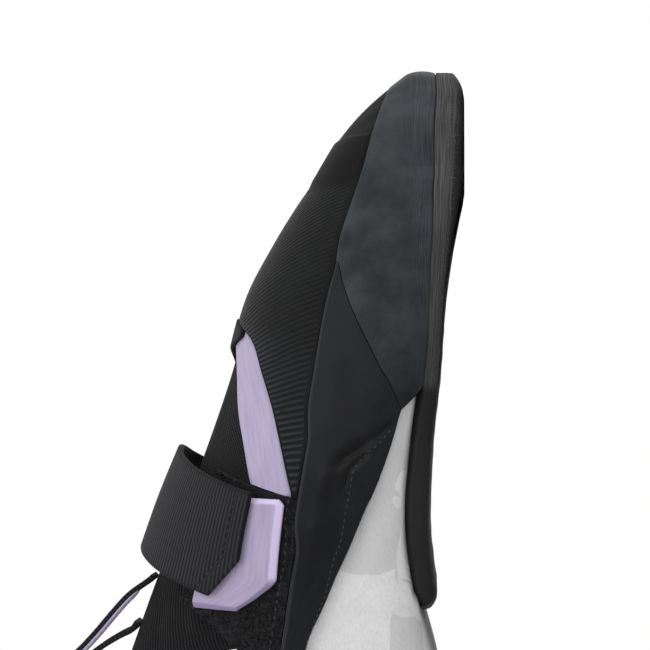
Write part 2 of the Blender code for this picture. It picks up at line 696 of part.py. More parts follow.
def main():
    for old in list(bpy.data.objects):
        bpy.data.objects.remove(old, do_unlink=True)
    black_rubber = finish("sole_rubber", (0.018, 0.018, 0.019), 0.62)
    rand_rubber = finish("rand_rubber", (0.020, 0.022, 0.025), 0.55)
    suede = finish("suede", (0.66, 0.66, 0.66), 0.9)
    knit = finish("knit", (0.012, 0.012, 0.014), 0.9)
    pile = finish("loop_pile", (0.008, 0.008, 0.009), 1.0)
    purple = finish("moulded_trim", (0.44, 0.37, 0.60), 0.5)
    web = finish("webbing", (0.015, 0.015, 0.018), 0.8)
    board = finish("insole_board", (0.10, 0.10, 0.11), 0.9)
    pieces = [
        make_outsole(black_rubber),
        make_upper(suede),
        make_insole(board),
        make_front_rand(rand_rubber),
        make_side_rand(rand_rubber),
        make_heel_cup(black_rubber),
        make_toe_patch(rand_rubber),
        make_tongue(knit),
        make_loop_patch(pile),
        make_throat_trim(purple),
        make_strap(web),
        make_strap_tab(purple),
        make_tongue_loop(web),
    ]
    stand_on_origin(pieces)


main()
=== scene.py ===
"""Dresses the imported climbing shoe: every sheet of rubber, suede, knit and webbing again at its true
thickness with rounded edges, and the studio it is photographed in.

The pieces are cut from the skin of the last, as the solids are. A place on the skin has two numbers:
  way   0 to 1 outer side from heel to toe, 1 to 2 round the toe, 2 to 3 inner side back to the heel,
        3 to 4 round the heel
  rise  0 on the line under the foot, 1 on the crest over it
and a third number, stand, is the distance out from the skin. Lengths are in metres unless named mm.
"""
import math

import bpy
import numpy as np
from mathutils import Matrix, Vector, kdtree


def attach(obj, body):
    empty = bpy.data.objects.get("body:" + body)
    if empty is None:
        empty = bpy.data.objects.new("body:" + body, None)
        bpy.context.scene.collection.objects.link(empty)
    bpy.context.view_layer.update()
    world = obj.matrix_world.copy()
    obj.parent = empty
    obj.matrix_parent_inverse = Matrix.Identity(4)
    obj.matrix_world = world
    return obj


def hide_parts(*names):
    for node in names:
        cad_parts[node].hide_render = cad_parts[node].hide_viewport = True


bl_info = {
    "name": "Climbing shoe",
    "version": (1, 0, 0),
    "blender": (4, 5, 0),
    "location": "View3D > Sidebar > Shoe",
    "description": "Rubber, suede, knit, webbing and studio for the packed climbing shoe",
    "category": "Object",
}

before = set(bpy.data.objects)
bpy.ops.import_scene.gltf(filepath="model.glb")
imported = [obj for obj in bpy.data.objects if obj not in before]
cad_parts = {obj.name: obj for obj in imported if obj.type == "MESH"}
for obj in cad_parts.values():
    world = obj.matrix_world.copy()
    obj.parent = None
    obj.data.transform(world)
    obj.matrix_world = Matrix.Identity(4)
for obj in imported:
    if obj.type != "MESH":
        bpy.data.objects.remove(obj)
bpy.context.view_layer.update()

# Sizes of the solids
LENGTH = 0.2335
BALL_WIDTH = 0.084
HEEL_WIDTH = 0.054
INSTEP_HEIGHT = 0.0865
HEEL_HEIGHT = 0.073
ARCH_LIFT = 0.0097
GAP = 0.0003
WALL = 0.002
KNIT = 0.0016
BOARD = 0.0012
SOLE = 0.0043
EDGE_LIP = 0.002
EDGE_BEVEL = 0.0045
RAND = 0.0018
HEEL_SIDE = 0.0021
PATCH = 0.0016
TRIM = 0.0007
PILE = 0.001
TAB = 0.0018
WEBBING = 0.0016
STRAP_STAND = 0.006
LOOP_WIDTH = 0.010
LOOP_WEBBING = 0.0016
LOOP_STAND = 0.014
GROUND = SOLE + GAP
FLAT_EDGE = 0.20
WALL_START = 0.36
# Glued edges meet closer here than the solids do.
SEAM = 0.0001
PATCH_REAR = 0.5030

# Rises this near 0 or 1 lie on the line under the foot or on the crest, where both sides meet.
ON_SEAM = 1e-6
# Points this near each other are one point.
SAME_POINT = 3e-6

# Radii of rounded edges. Rands, grip and the pile's backing are the thin ones.
SOLE_ROUND = 0.0002
THIN_ROUND = 0.0003
TRIM_ROUND = 0.00035
RUBBER_ROUND = 0.0004
SOFT_ROUND = 0.0006
SUEDE_ROUND = 0.0007
POINT_ROUND = 0.0007
# Width of the close rows of points along each sheet's borders
UPPER_BORDER = 0.0012
RUBBER_BORDER = 0.0006
HEEL_BORDER = 0.0016
TONGUE_BORDER = 0.0008
TRIM_BORDER = 0.0003
FASTENING_BORDER = 0.0004
# Yarn loops to a square metre of the fastening's pile, and their height
PILE_DENSITY = 2.2e6
PILE_LOOP = 0.00085

# Length and thickness of each stitch
RAND_THREAD = (0.0010, 0.00030)
PATCH_THREAD = (0.0011, 0.00034)
COLLAR_THREAD = (0.0013, 0.0003)
STRAP_THREAD = (0.0013, 0.00028)
STRAP_STITCH_PITCH = 0.0021
# The strap's stitches stand back from its end and from its edges.
STRAP_STITCH_ROW = 0.0042
STRAP_STITCH_INSET = 0.0022

# The ground band starts between these distances from the heel.
GROUND_BAND_START = (0.1455, 0.1475)
HEEL_GROOVES = (0.022, 0.028, 0.034)
GROOVE_DEPTH = 0.0009
POINT_THICK = 0.0010
LOOP_RIB = 0.0012
LOOP_ENDS_LOWER = 0.00042
TAPE_WIDTH = 0.0044
TAPE_MIDDLE = 0.0031
TAPE_SHARE = (0.10, 0.62)
TAB_BEVEL = 0.0017
# Rough lengths that the close rows near the edges of tongue and strap are spaced by
TONGUE_ACROSS = 0.08
TONGUE_LONG = 0.09
STRAP_WIDTH = 0.028
STRAP_LONG = 0.11

FLOOR_RADIUS = 1.3
FLOOR_CORNERS = 96
SENSOR_MM = 36
# The camera looks at the shoe's outer side, this far from its middle.
AIM_X = 0.03
# Each light's name, place, aim and size, and its share of the key light's power
STUDIO_LIGHTS = (
    ("key", (0.75, 0.55, 1.0), (0, 0.03, 0.04), 0.7, 1.0),
    ("top", (-0.2, -0.1, 1.5), (0, 0, 0), 1.6, 1.0),
    ("toe", (0.35, 1.1, 0.35), (0, 0.06, 0.03), 0.5, 0.35),
)

# From the last's own frame, heel at y 0, to the middle of the shoe on the floor.
MIDDLE = np.array([-0.00060, -0.11657, 0.0])
SIDEWAYS = np.array([1.0, 0, 0])
DETAIL = 1.0


def table(columns, rows):
    """A table as one array for each named column."""
    return dict(zip(columns.split(), np.array(rows, float).T))


OUTLINE = table("along outer inner", [
    (0.000, 0.50, 0.48),
    (0.120, 0.51, 0.49),
    (0.214, 0.546, 0.51),
    (0.300, 0.578, 0.507),
    (0.385, 0.554, 0.442),
    (0.471, 0.526, 0.399),
    (0.557, 0.506, 0.423),
    (0.642, 0.470, 0.476),
    (0.728, 0.405, 0.492),
    (0.792, 0.331, 0.474),
    (0.835, 0.256, 0.444),
    (0.878, 0.175, 0.402),
])
LOCAL_WIDTH = table("along ball", [(0, 0), (0.25, 0), (0.55, 1), (1, 1)])
SPINE = table("along spine", [(0.12, 0), (0.385, 0.024), (0.60, 0.018), (0.75, -0.048), (0.878, -0.167)])
TOE_ROUND = table("turn reach", [
    (0, 0.342), (25, 0.307), (45, 0.285), (65, 0.298), (80, 0.325), (92, 0.338),
    (105, 0.333), (120, 0.295), (140, 0.250), (160, 0.231), (180, 0.235),
])
SECTIONS = table("along crest lean side full corner", [
    (0.000, 1.364, 0.000, 0.173, 2.60, 0.143),
    (0.120, 1.272, 0.000, 0.173, 2.60, 0.155),
    (0.200, 1.184, 0.000, 0.160, 2.35, 0.148),
    (0.300, 1.080, -0.012, 0.143, 2.10, 0.138),
    (0.385, 1.000, -0.030, 0.131, 1.92, 0.125),
    (0.471, 0.913, -0.048, 0.120, 1.86, 0.112),
    (0.557, 0.827, -0.065, 0.110, 1.88, 0.100),
    (0.642, 0.751, -0.083, 0.101, 1.92, 0.091),
    (0.728, 0.688, -0.095, 0.094, 1.98, 0.084),
    (0.792, 0.601, -0.113, 0.088, 2.06, 0.078),
    (0.835, 0.532, -0.131, 0.084, 2.14, 0.074),
    (0.878, 0.457, -0.149, 0.081, 2.20, 0.071),
    (0.921, 0.405, -0.167, 0.079, 2.20, 0.067),
    (0.964, 0.347, -0.179, 0.077, 2.20, 0.063),
    (1.000, 0.277, -0.179, 0.075, 2.20, 0.060),
])
LIFT = table("along lift", [
    (0, 0), (0.20, 0), (0.30, 0.30), (0.385, 0.79), (0.47, 1.0), (0.557, 0.92), (0.642, 0.71),
    (0.728, 0.56), (0.792, 0.35), (0.835, 0.15), (0.87, 0), (0.965, 0), (1.0, 0.10),
])
SOLE_LINE = table("along rise", [
    (0.401, 0.241), (0.43, 0.246), (0.50, 0.258), (0.57, 0.246), (0.68, 0.238), (0.725, 0.248),
    (0.767, 0.266), (0.797, 0.278), (0.828, 0.296), (0.861, 0.316), (0.93, 0.321), (1.0, 0.311),
])
RAND_TOP = table("along rise", [
    (0, 0.585), (0.12, 0.58), (0.22, 0.552), (0.311, 0.524), (0.365, 0.509), (0.411, 0.501), (0.446, 0.494),
    (0.48, 0.504), (0.564, 0.506), (0.607, 0.524), (0.673, 0.531), (0.751, 0.531), (0.789, 0.551),
    (0.84, 0.571), (0.875, 0.589), (1.0, 0.592),
])
SIDE_BAND_FOOT = table("along rise", [
    (0, 0.51), (0.12, 0.51), (0.22, 0.502), (0.306, 0.489), (0.341, 0.476), (0.381, 0.446), (0.417, 0.421),
    (0.453, 0.393), (0.484, 0.373), (0.53, 0.343), (0.57, 0.321), (0.601, 0.31),
])
THROAT = table("along rise", [
    (0.326, 0.590), (0.364, 0.595), (0.43, 0.585), (0.514, 0.572), (0.563, 0.632), (0.60, 0.690),
    (0.644, 0.765), (0.674, 0.830), (0.686, 0.900), (0.694, 1.0),
])
TRIM_OUTER = table("along rise", [
    (0.509, 0.524), (0.563, 0.578), (0.60, 0.624), (0.644, 0.699), (0.678, 0.770), (0.690, 0.830),
    (0.698, 0.915), (0.702, 1.0),
])
TRIM_INNER = table("along rise", [
    (0.509, 0.622), (0.563, 0.694), (0.60, 0.757), (0.644, 0.835), (0.668, 0.900), (0.686, 1.0),
])
PILE_TOP = table("along rise", [
    (0.305, 0.555), (0.324, 0.585), (0.356, 0.652), (0.391, 0.755), (0.43, 0.775), (0.535, 0.765),
])
SOLE_END = table("rise along", [(0, 0.368), (0.1, 0.371), (0.2, 0.380), (0.24, 0.399), (1, 0.399)])
FRONT_RAND_END = table("rise along", [(0, 0.630), (0.24, 0.630), (0.31, 0.601), (0.526, 0.764), (1, 0.80)])
HEEL_FRONT = table("rise along", [(0, 0.270), (0.2, 0.262), (0.36, 0.215), (0.51, 0.160), (1, 0.10)])
TONGUE_TOP = table("rise along", [(0, 0.333), (0.59, 0.333), (0.75, 0.312), (0.90, 0.284), (1, 0.278)])
PILE_FRONT = table("rise along", [(0, 0.502), (0.51, 0.502), (0.765, 0.532), (1, 0.532)])
MARGIN_END = table("rise along", [(0, 0.41), (0.05, 0.415), (0.1, 0.43), (0.11, 0.45), (1, 0.45)])
COLLAR = table("along height", [
    (0, 1.0), (0.05, 0.96), (0.12, 0.865), (0.20, 0.80), (0.27, 0.795), (0.31, 0.82),
])
COLLAR_MEETS_TONGUE = 0.333
INSOLE_EDGE = 0.18
STRAP = table("across front rear stand", [
    (0.60, 0.507, 0.385, 0.62),
    (0.70, 0.518, 0.398, 0.74),
    (0.80, 0.529, 0.409, 0.88),
    (0.90, 0.540, 0.420, 0.98),
    (1.00, 0.548, 0.428, 1.00),
    (1.10, 0.541, 0.421, 0.84),
    (1.20, 0.530, 0.410, 0.60),
    (1.30, 0.519, 0.399, 0.38),
    (1.40, 0.508, 0.389, 0.24),
    (1.47, 0.503, 0.384, 0.23),
])
STRAP_POINT = 0.055
STRAP_POINT_START = 0.6
TAB_EDGE = table("along rise", [
    (0.376, 0.602), (0.395, 0.558), (0.415, 0.528), (0.495, 0.532), (0.502, 0.545),
])
TAB_TOP = 0.70
PULL_LOOP = table("along stand", [
    (0.402, 0.085), (0.390, 0.20), (0.372, 0.40), (0.350, 0.57), (0.325, 0.74), (0.303, 0.90),
    (0.290, 1.00), (0.281, 1.01), (0.277, 0.94), (0.281, 0.86), (0.295, 0.72), (0.312, 0.52),
    (0.327, 0.30), (0.337, 0.14), (0.348, 0.085),
])

# Folds and ridges pressed into a piece: two ends as share of LENGTH and rise, half width and height.
RAND_FOLDS = table("along_a rise_a along_b rise_b half height", [
    (0.592, 0.322, 0.566, 0.372, 0.0009, -0.00080),
    (0.566, 0.372, 0.541, 0.442, 0.0013, -0.00100),
    (0.581, 0.328, 0.556, 0.374, 0.0010, 0.00045),
    (0.556, 0.366, 0.537, 0.405, 0.0007, -0.00060),
    (0.537, 0.405, 0.515, 0.412, 0.0008, -0.00045),
    (0.541, 0.450, 0.500, 0.456, 0.0020, 0.00055),
    (0.500, 0.452, 0.400, 0.472, 0.0022, 0.00050),
    (0.400, 0.472, 0.330, 0.492, 0.0022, 0.00030),
    (0.660, 0.470, 0.612, 0.420, 0.0045, -0.00035),
    (0.640, 0.505, 0.560, 0.470, 0.0050, 0.00030),
])
TOE_FOLDS = table("along_a rise_a along_b rise_b half height", [
    (0.690, 0.480, 0.640, 0.410, 0.0050, -0.00030),
    (0.780, 0.420, 0.700, 0.360, 0.0060, -0.00025),
])
SUEDE_FOLDS = table("along_a rise_a along_b rise_b half height", [
    (0.560, 0.272, 0.520, 0.300, 0.0022, -0.00030),
    (0.500, 0.272, 0.455, 0.330, 0.0028, 0.00035),
    (0.452, 0.262, 0.415, 0.345, 0.0026, -0.00035),
    (0.395, 0.215, 0.360, 0.300, 0.0032, 0.00040),
    (0.345, 0.180, 0.330, 0.330, 0.0034, -0.00045),
    (0.310, 0.240, 0.290, 0.400, 0.0036, 0.00035),
    (0.300, 0.100, 0.320, 0.200, 0.0036, -0.00040),
    (0.330, 0.500, 0.240, 0.520, 0.0030, -0.00025),
])
TRIM_FOLDS = table("along_a rise_a along_b rise_b half height", [
    (0.640, 0.790, 0.600, 0.712, 0.0005, -0.00030),
    (0.590, 0.700, 0.545, 0.628, 0.0005, -0.00028),
    (0.570, 0.640, 0.525, 0.575, 0.0006, 0.00028),
    (0.560, 0.655, 0.515, 0.600, 0.0004, -0.00030),
    (0.620, 0.730, 0.585, 0.655, 0.0005, 0.00022),
])
TONGUE_FOLDS = table("along_a rise_a along_b rise_b half height", [
    (0.395, 0.640, 0.350, 0.620, 0.0022, -0.00060),
    (0.385, 0.720, 0.345, 0.690, 0.0026, 0.00050),
    (0.375, 0.830, 0.320, 0.800, 0.0030, -0.00045),
    (0.620, 0.900, 0.560, 0.860, 0.0030, 0.00040),
])
BINDING = table("along rise", [
    (0.655, 0.995), (0.664, 0.955), (0.676, 0.890), (0.685, 0.832), (0.690, 0.838), (0.699, 0.905),
    (0.706, 0.985),
])
BEVEL = table("across height", [(0, 0), (0.33, 0.20), (0.67, 0.56), (0.93, 0.93), (1.03, 0.985), (1.25, 1)])
RAND_STITCH_LINE = [
    (0.577, 0.333), (0.558, 0.363), (0.540, 0.393), (0.519, 0.398), (0.484, 0.404), (0.458, 0.409),
    (0.439, 0.421), (0.398, 0.439), (0.350, 0.470), (0.320, 0.486),
]
PATCH_STEPS = table("along height", [
    (0.50, 0.0), (0.862, 0.0), (0.866, 0.00045), (0.915, 0.00045), (0.919, 0.0), (1.0, 0.0),
])


def curve(tab, column, x):
    """Smooth curve through a column of a table, with no overshoot between its rows."""
    names = list(tab)
    xs = tab[names[0]]
    ys = tab[column]
    gaps = np.diff(xs)
    slopes = np.diff(ys) / gaps
    tangents = np.zeros_like(ys)
    tangents[0] = slopes[0]
    tangents[-1] = slopes[-1]
    for i in range(1, len(xs) - 1):
        if slopes[i - 1] * slopes[i] > 0:
            before = 2 * gaps[i] + gaps[i - 1]
            after = gaps[i] + 2 * gaps[i - 1]
            tangents[i] = (before + after) / (before / slopes[i - 1] + after / slopes[i])
    x = np.clip(x, xs[0], xs[-1])
    i = np.clip(np.searchsorted(xs, x) - 1, 0, len(xs) - 2)
    s = (x - xs[i]) / gaps[i]
    return ((1 + 2 * s) * (1 - s) ** 2 * ys[i] + s * (1 - s) ** 2 * gaps[i] * tangents[i]
            + s * s * (3 - 2 * s) * ys[i + 1] + s * s * (s - 1) * gaps[i] * tangents[i + 1])


HEEL_Y = OUTLINE["along"][1] * LENGTH
TOE_Y = OUTLINE["along"][-1] * LENGTH
TOE_X = SPINE["spine"][-1] * BALL_WIDTH


def width(y):
    """Width that the outline's shares are taken of, from the heel's to the ball's."""
    return HEEL_WIDTH + (BALL_WIDTH - HEEL_WIDTH) * curve(LOCAL_WIDTH, "ball", y / LENGTH)


def outer_edge(y):
    return curve(OUTLINE, "outer", y / LENGTH) * width(y)


def inner_edge(y):
    return -curve(OUTLINE, "inner", y / LENGTH) * width(y)


def spine_x(y):
    return curve(SPINE, "spine", y / LENGTH) * BALL_WIDTH


def section(column, y, size):
    return curve(SECTIONS, column, y / LENGTH) * size


def underside(y):
    """Height of the last's flat underside."""
    return GROUND + ARCH_LIFT * curve(LIFT, "lift", y / LENGTH)


def outer_way(along):
    """Way of a place on the outer side, from its share of LENGTH."""
    return (along * LENGTH - HEEL_Y) / (TOE_Y - HEEL_Y)


def inner_way(along):
    return 3 - outer_way(along)


def ray(way):
    """Root on the spine, direction and reach of the section at each way."""
    way = np.asarray(way, float) % 4
    leg = np.floor(way).astype(int)
    part = way - leg
    y = np.select([leg == 0, leg == 2], [HEEL_Y + (TOE_Y - HEEL_Y) * part, TOE_Y - (TOE_Y - HEEL_Y) * part],
                  np.where(leg == 1, TOE_Y, HEEL_Y))
    x = np.where(leg == 1, TOE_X, np.where(leg == 3, 0.0, spine_x(y)))
    turn = np.select([leg == 0, leg == 1, leg == 2], [0 * part, 180 * part, 180 + 0 * part],
                     180 + 180 * part)
    dx = np.cos(np.radians(turn))
    dy = np.sin(np.radians(turn))
    tip = curve(TOE_ROUND, "reach", 92.0) * BALL_WIDTH
    half = np.where(dx > 0, outer_edge(HEEL_Y), -inner_edge(HEEL_Y))
    heel = 1 / np.sqrt((dx / half) ** 2 + (dy / HEEL_Y) ** 2)
    toe = curve(TOE_ROUND, "reach", turn) * BALL_WIDTH
    reach = np.select([leg == 0, leg == 1, leg == 2], [outer_edge(y) - x, toe, x - inner_edge(y)], heel)
    dy = np.where(leg == 1, dy * (LENGTH - TOE_Y) / tip, dy)
    return x, y, dx, dy, reach


def along(way):
    """Share of LENGTH at the outline, where the edges' tables are read."""
    _x, y, _dx, dy, reach = ray(way)
    return (y + dy * reach) / LENGTH


def skin(way, rise):
    """Points of the last's skin."""
    way, rise = np.broadcast_arrays(np.asarray(way, float), np.asarray(rise, float))
    root_x, root_y, dx, dy, reach = ray(way)
    corner = section("corner", root_y + dy * reach, BALL_WIDTH)
    full = section("full", root_y + 0.7 * dy * reach, 1)
    up = np.clip((rise - WALL_START) / (1 - WALL_START), 0, 1) * np.pi / 2
    turn = np.clip((rise - FLAT_EDGE) / (WALL_START - FLAT_EDGE), 0, 1) * np.pi / 2
    over = reach * np.cos(up).clip(0) ** (2 / full)
    round_corner = reach - corner + corner * np.sin(turn) ** 0.9
    flat = (reach - corner) * np.clip(rise / FLAT_EDGE, 0, 1)
    out = np.where(rise >= WALL_START, over, np.where(rise >= FLAT_EDGE, round_corner, flat))
    y = root_y + dy * out
    floor = underside(y)
    side = section("side", y, INSTEP_HEIGHT)
    crest = section("crest", y, INSTEP_HEIGHT)
    share = np.where(rise >= WALL_START, np.sin(up), 0)
    z = np.where(rise >= WALL_START, floor + side + (crest - floor - side) * share,
                 floor + side * (1 - np.cos(turn).clip(0) ** 0.9))
    x = root_x + dx * out + (section("lean", y, BALL_WIDTH) - root_x) * share
    return np.stack([x, y, z], -1) + MIDDLE


def skin_normal(way, rise, step=1e-3, pole=0.004):
    """Outward normals, read a little off the spine and crest, where the sections meet."""
    rise = np.clip(rise, pole, 1 - pole)
    round_way = skin(way + step, rise) - skin(way - step, rise)
    up_way = skin(way, rise + step) - skin(way, rise - step)
    normal = np.cross(round_way, up_way)
    return normal / np.linalg.norm(normal, axis=-1, keepdims=True)


def twins(points):
    """For each point, the number of the first point that lies where it does."""
    tree = kdtree.KDTree(len(points))
    for index, point in enumerate(points):
        tree.insert(Vector(point), index)
    tree.balance()
    return np.array([min(hit[1] for hit in tree.find_range(Vector(point), SAME_POINT)) for point in points])


def on_seam(rises):
    return (rises < ON_SEAM) | (rises > 1 - ON_SEAM)


def framed(ways, rises):
    """Skin points and normals. Samples of one point on the spine or crest share a normal."""
    base = skin(ways, rises)
    normals = skin_normal(ways, rises)
    seam = np.flatnonzero(on_seam(rises).ravel())
    if seam.size:
        flat = normals.reshape(-1, 3)
        first = twins(base.reshape(-1, 3)[seam])
        sums = np.zeros((len(first), 3))
        np.add.at(sums, first, flat[seam])
        shared = sums[first]
        flat[seam] = shared / np.linalg.norm(shared, axis=-1, keepdims=True)
    return base, normals


def at_rise(tab):
    """Rise of an edge at each way."""
    return lambda way: curve(tab, "rise", along(way))


def moved(edge, distance):
    """An edge moved up the skin by a distance."""
    def place(way):
        rise = edge(way)
        rate = np.linalg.norm(skin(way, rise + 0.01) - skin(way, rise - 0.01), axis=-1) / 0.02
        return np.where(rise >= 1, 1, np.minimum(rise + distance / rate, 1))
    return place


def at_end(tab, distance=0.0, inner=False):
    """Way of an edge across the shoe at each rise, moved towards the toe by a distance."""
    side = inner_way if inner else outer_way
    return lambda rise: side(np.interp(rise, tab["rise"], tab["along"]) + distance / LENGTH)


def past_heel(edge):
    """An edge of the outer side, reached from the inner side round the heel."""
    return lambda rise: edge(rise) + 4


def rise_at_height(way, height):
    """Rise where the skin reaches a height, on the side and the dome."""
    low = np.full(np.shape(way), WALL_START)
    high = np.ones(np.shape(way))
    for _ in range(24):
        middle = (low + high) / 2
        below = skin(way, middle)[..., 2] < height
        low = np.where(below, middle, low)
        high = np.where(below, high, middle)
    return (low + high) / 2


def whole(value):
    """An edge at one place all along."""
    return lambda other: np.full(np.shape(other), float(value))


def upper_edge(way):
    """Top of the upper: throat over the foot, collar round the ankle."""
    place = along(way)
    throat = curve(THROAT, "rise", place)
    collar = rise_at_height(way, curve(COLLAR, "height", place) * HEEL_HEIGHT)
    blend = np.clip((place - COLLAR["along"][-1]) / (COLLAR_MEETS_TONGUE - COLLAR["along"][-1]), 0, 1)
    return np.where(place > THROAT["along"][-1], 1, collar + (throat - collar) * blend)


def margin_edge(way):
    """Bottom edge of the upper: open inside the forefoot sole, closed behind it."""
    place = along(way)
    opening = np.interp(place, MARGIN_END["along"][:-1], MARGIN_END["rise"][:-1])
    return np.where(place < MARGIN_END["along"][0], 0, opening)


# Fine grids over the skin


def run_along(points, axis):
    """Arc length along each row or column of a grid of points, from its first point."""
    steps = np.cumsum(np.linalg.norm(np.diff(points, axis=axis), axis=-1), axis=axis)
    return np.concatenate([np.zeros_like(np.take(steps, [0], axis)), steps], axis=axis)


def rounded(edge, radius):
    """How far a face falls back at a distance from an edge that is rounded to a radius."""
    near = np.clip(1 - edge / radius, 0, 1)
    return radius * (1 - np.sqrt(1 - near ** 2))


def spread(count, lengths, close):
    """Shares 0 to 1 along lines of these lengths, with rows close together near both ends."""
    near = np.minimum(close / np.maximum(lengths, 1e-6), 0.3)[:, None]
    start = near * np.array([0, 0.04, 0.15, 0.35, 0.62])
    middle = near + (1 - 2 * near) * np.linspace(0, 1, count)
    return np.concatenate([start, middle, 1 - start[:, ::-1]], axis=1)


class Grid:
    """Ways and rises of a grid of points, and each point's distance from the grid's four borders."""

    def __init__(self, start, end, low, high, rows, columns, close):
        rows = int(rows * DETAIL)
        columns = int(columns * DETAIL)
        self.closed = start is None
        if self.closed:
            even = np.arange(rows // 4 * 4) / (rows // 4)
            ways = even[:, None]
            below = low(even)[:, None]
            above = high(even)[:, None]
            rough = below + (above - below) * np.linspace(0, 1, 40)
            across = run_along(skin(ways, rough), 1)[:, -1]
            shares = spread(columns, across, close)
            self.ways = ways + 0 * shares
            self.rises = below + (above - below) * shares
            run = np.zeros(self.ways.shape)
            rest = run + 1
        else:
            shares = np.tile(np.linspace(0, 1, columns + 10), (rows + 10, 1))
            run = np.tile(np.linspace(0, 1, rows + 10)[:, None], (1, columns + 10))
            ways, rises = self.settle(start, end, low, high, run, shares)
            points = skin(ways, rises)
            across = run_along(points, 1)[:, -1]
            lengthways = run_along(points, 0)[-1]
            shares = spread(columns, across, close)
            run = spread(rows, lengthways, close).T
            self.ways, self.rises = self.settle(start, end, low, high, run, shares)
            rest = (1 - run) * lengthways
            run = run * lengthways
        self.from_start = run
        self.from_end = rest
        self.from_low = shares * across[:, None]
        self.from_high = (1 - shares) * across[:, None]
        self.base, self.normals = framed(self.ways, self.rises)

    @staticmethod
    def settle(start, end, low, high, run, shares):
        """Ways and rises at shares between four edges that depend on each other."""
        ways = start(0.4 + 0 * run) * (1 - run) + end(0.4 + 0 * run) * run
        for _ in range(14):
            rises = low(ways) * (1 - shares) + high(ways) * shares
            ways = start(rises) * (1 - run) + end(rises) * run
        return ways, rises

    def edge(self):
        """Distance from the nearest border that is a free edge."""
        low = np.where(self.rises[:, :1] < ON_SEAM, 1.0, 0) + self.from_low
        high = np.where(self.rises[:, -1:] > 1 - ON_SEAM, 1.0, 0) + self.from_high
        ends = np.minimum(self.from_start, self.from_end) if not self.closed else 1.0
        return np.minimum(np.minimum(low, high), ends)

    def rounding(self, radius):
        """How far the face falls back from a free edge that is rounded."""
        return rounded(self.edge(), radius)

    def at(self, stand):
        """Points over the grid at a distance out from the skin."""
        return self.base + self.normals * np.broadcast_to(stand, self.ways.shape)[..., None]


def surface_mm(points):
    """Arc lengths over a grid of points in mm, for patterns that follow it."""
    across = run_along(points, 1)
    lengthways = run_along(points, 0)[:, points.shape[1] // 2, None]
    return np.stack([lengthways + 0 * across, across], -1) * 1000


def bell(x, middle, half, power=2):
    """1 at the middle, falling away on both sides within half."""
    return np.exp(-((x - middle) / half) ** power)


def folds(points, tab):
    """Height of the folds and ridges of a table at each point, measured along the surface."""
    flat = points.reshape(-1, 3)
    total = np.zeros(len(flat))
    for k in range(len(tab["half"])):
        shares = np.linspace(0, 1, 9)
        places = tab["along_a"][k] + (tab["along_b"][k] - tab["along_a"][k]) * shares
        rises = tab["rise_a"][k] + (tab["rise_b"][k] - tab["rise_a"][k]) * shares
        line = skin(outer_way(places), rises)
        nearest = np.full(len(flat), 1.0)
        where = np.zeros(len(flat))
        for i in range(len(line) - 1):
            leg = line[i + 1] - line[i]
            part = np.clip((flat - line[i]) @ leg / (leg @ leg), 0, 1)
            gap = np.linalg.norm(flat - line[i] - part[:, None] * leg, axis=-1)
            closer = gap < nearest
            nearest = np.where(closer, gap, nearest)
            where = np.where(closer, (i + part) / (len(line) - 1), where)
        fade = 0.25 + 0.75 * np.clip(4 * where, 0, 1) * np.clip(4 * (1 - where), 0, 1)
        total += tab["height"][k] * fade * bell(nearest, 0, tab["half"][k])
    return total.reshape(points.shape[:-1])


def quads(rows, columns, first, turned, closed):
    """Corners of the faces of a grid of points numbered from first."""
    i = np.arange(rows if closed else rows - 1)[:, None]
    j = np.arange(columns - 1)[None, :]
    a = first + i * columns + j
    b = first + ((i + 1) % rows) * columns + j
    faces = np.stack([a, b, b + 1, a + 1], -1).reshape(-1, 4)
    return faces[:, ::-1] if turned else faces


def rim(rows, columns, closed):
    """Pairs of border points, in order round the grid."""
    low = [i * columns for i in range(rows)]
    high = [i * columns + columns - 1 for i in range(rows)]
    if closed:
        return list(zip(low, low[1:] + low[:1])) + list(zip(high[1:] + high[:1], high))
    ring = low + [(rows - 1) * columns + j for j in range(1, columns)]
    ring += high[-2::-1] + [j for j in range(columns - 2, 0, -1)]
    return list(zip(ring, ring[1:] + ring[:1]))


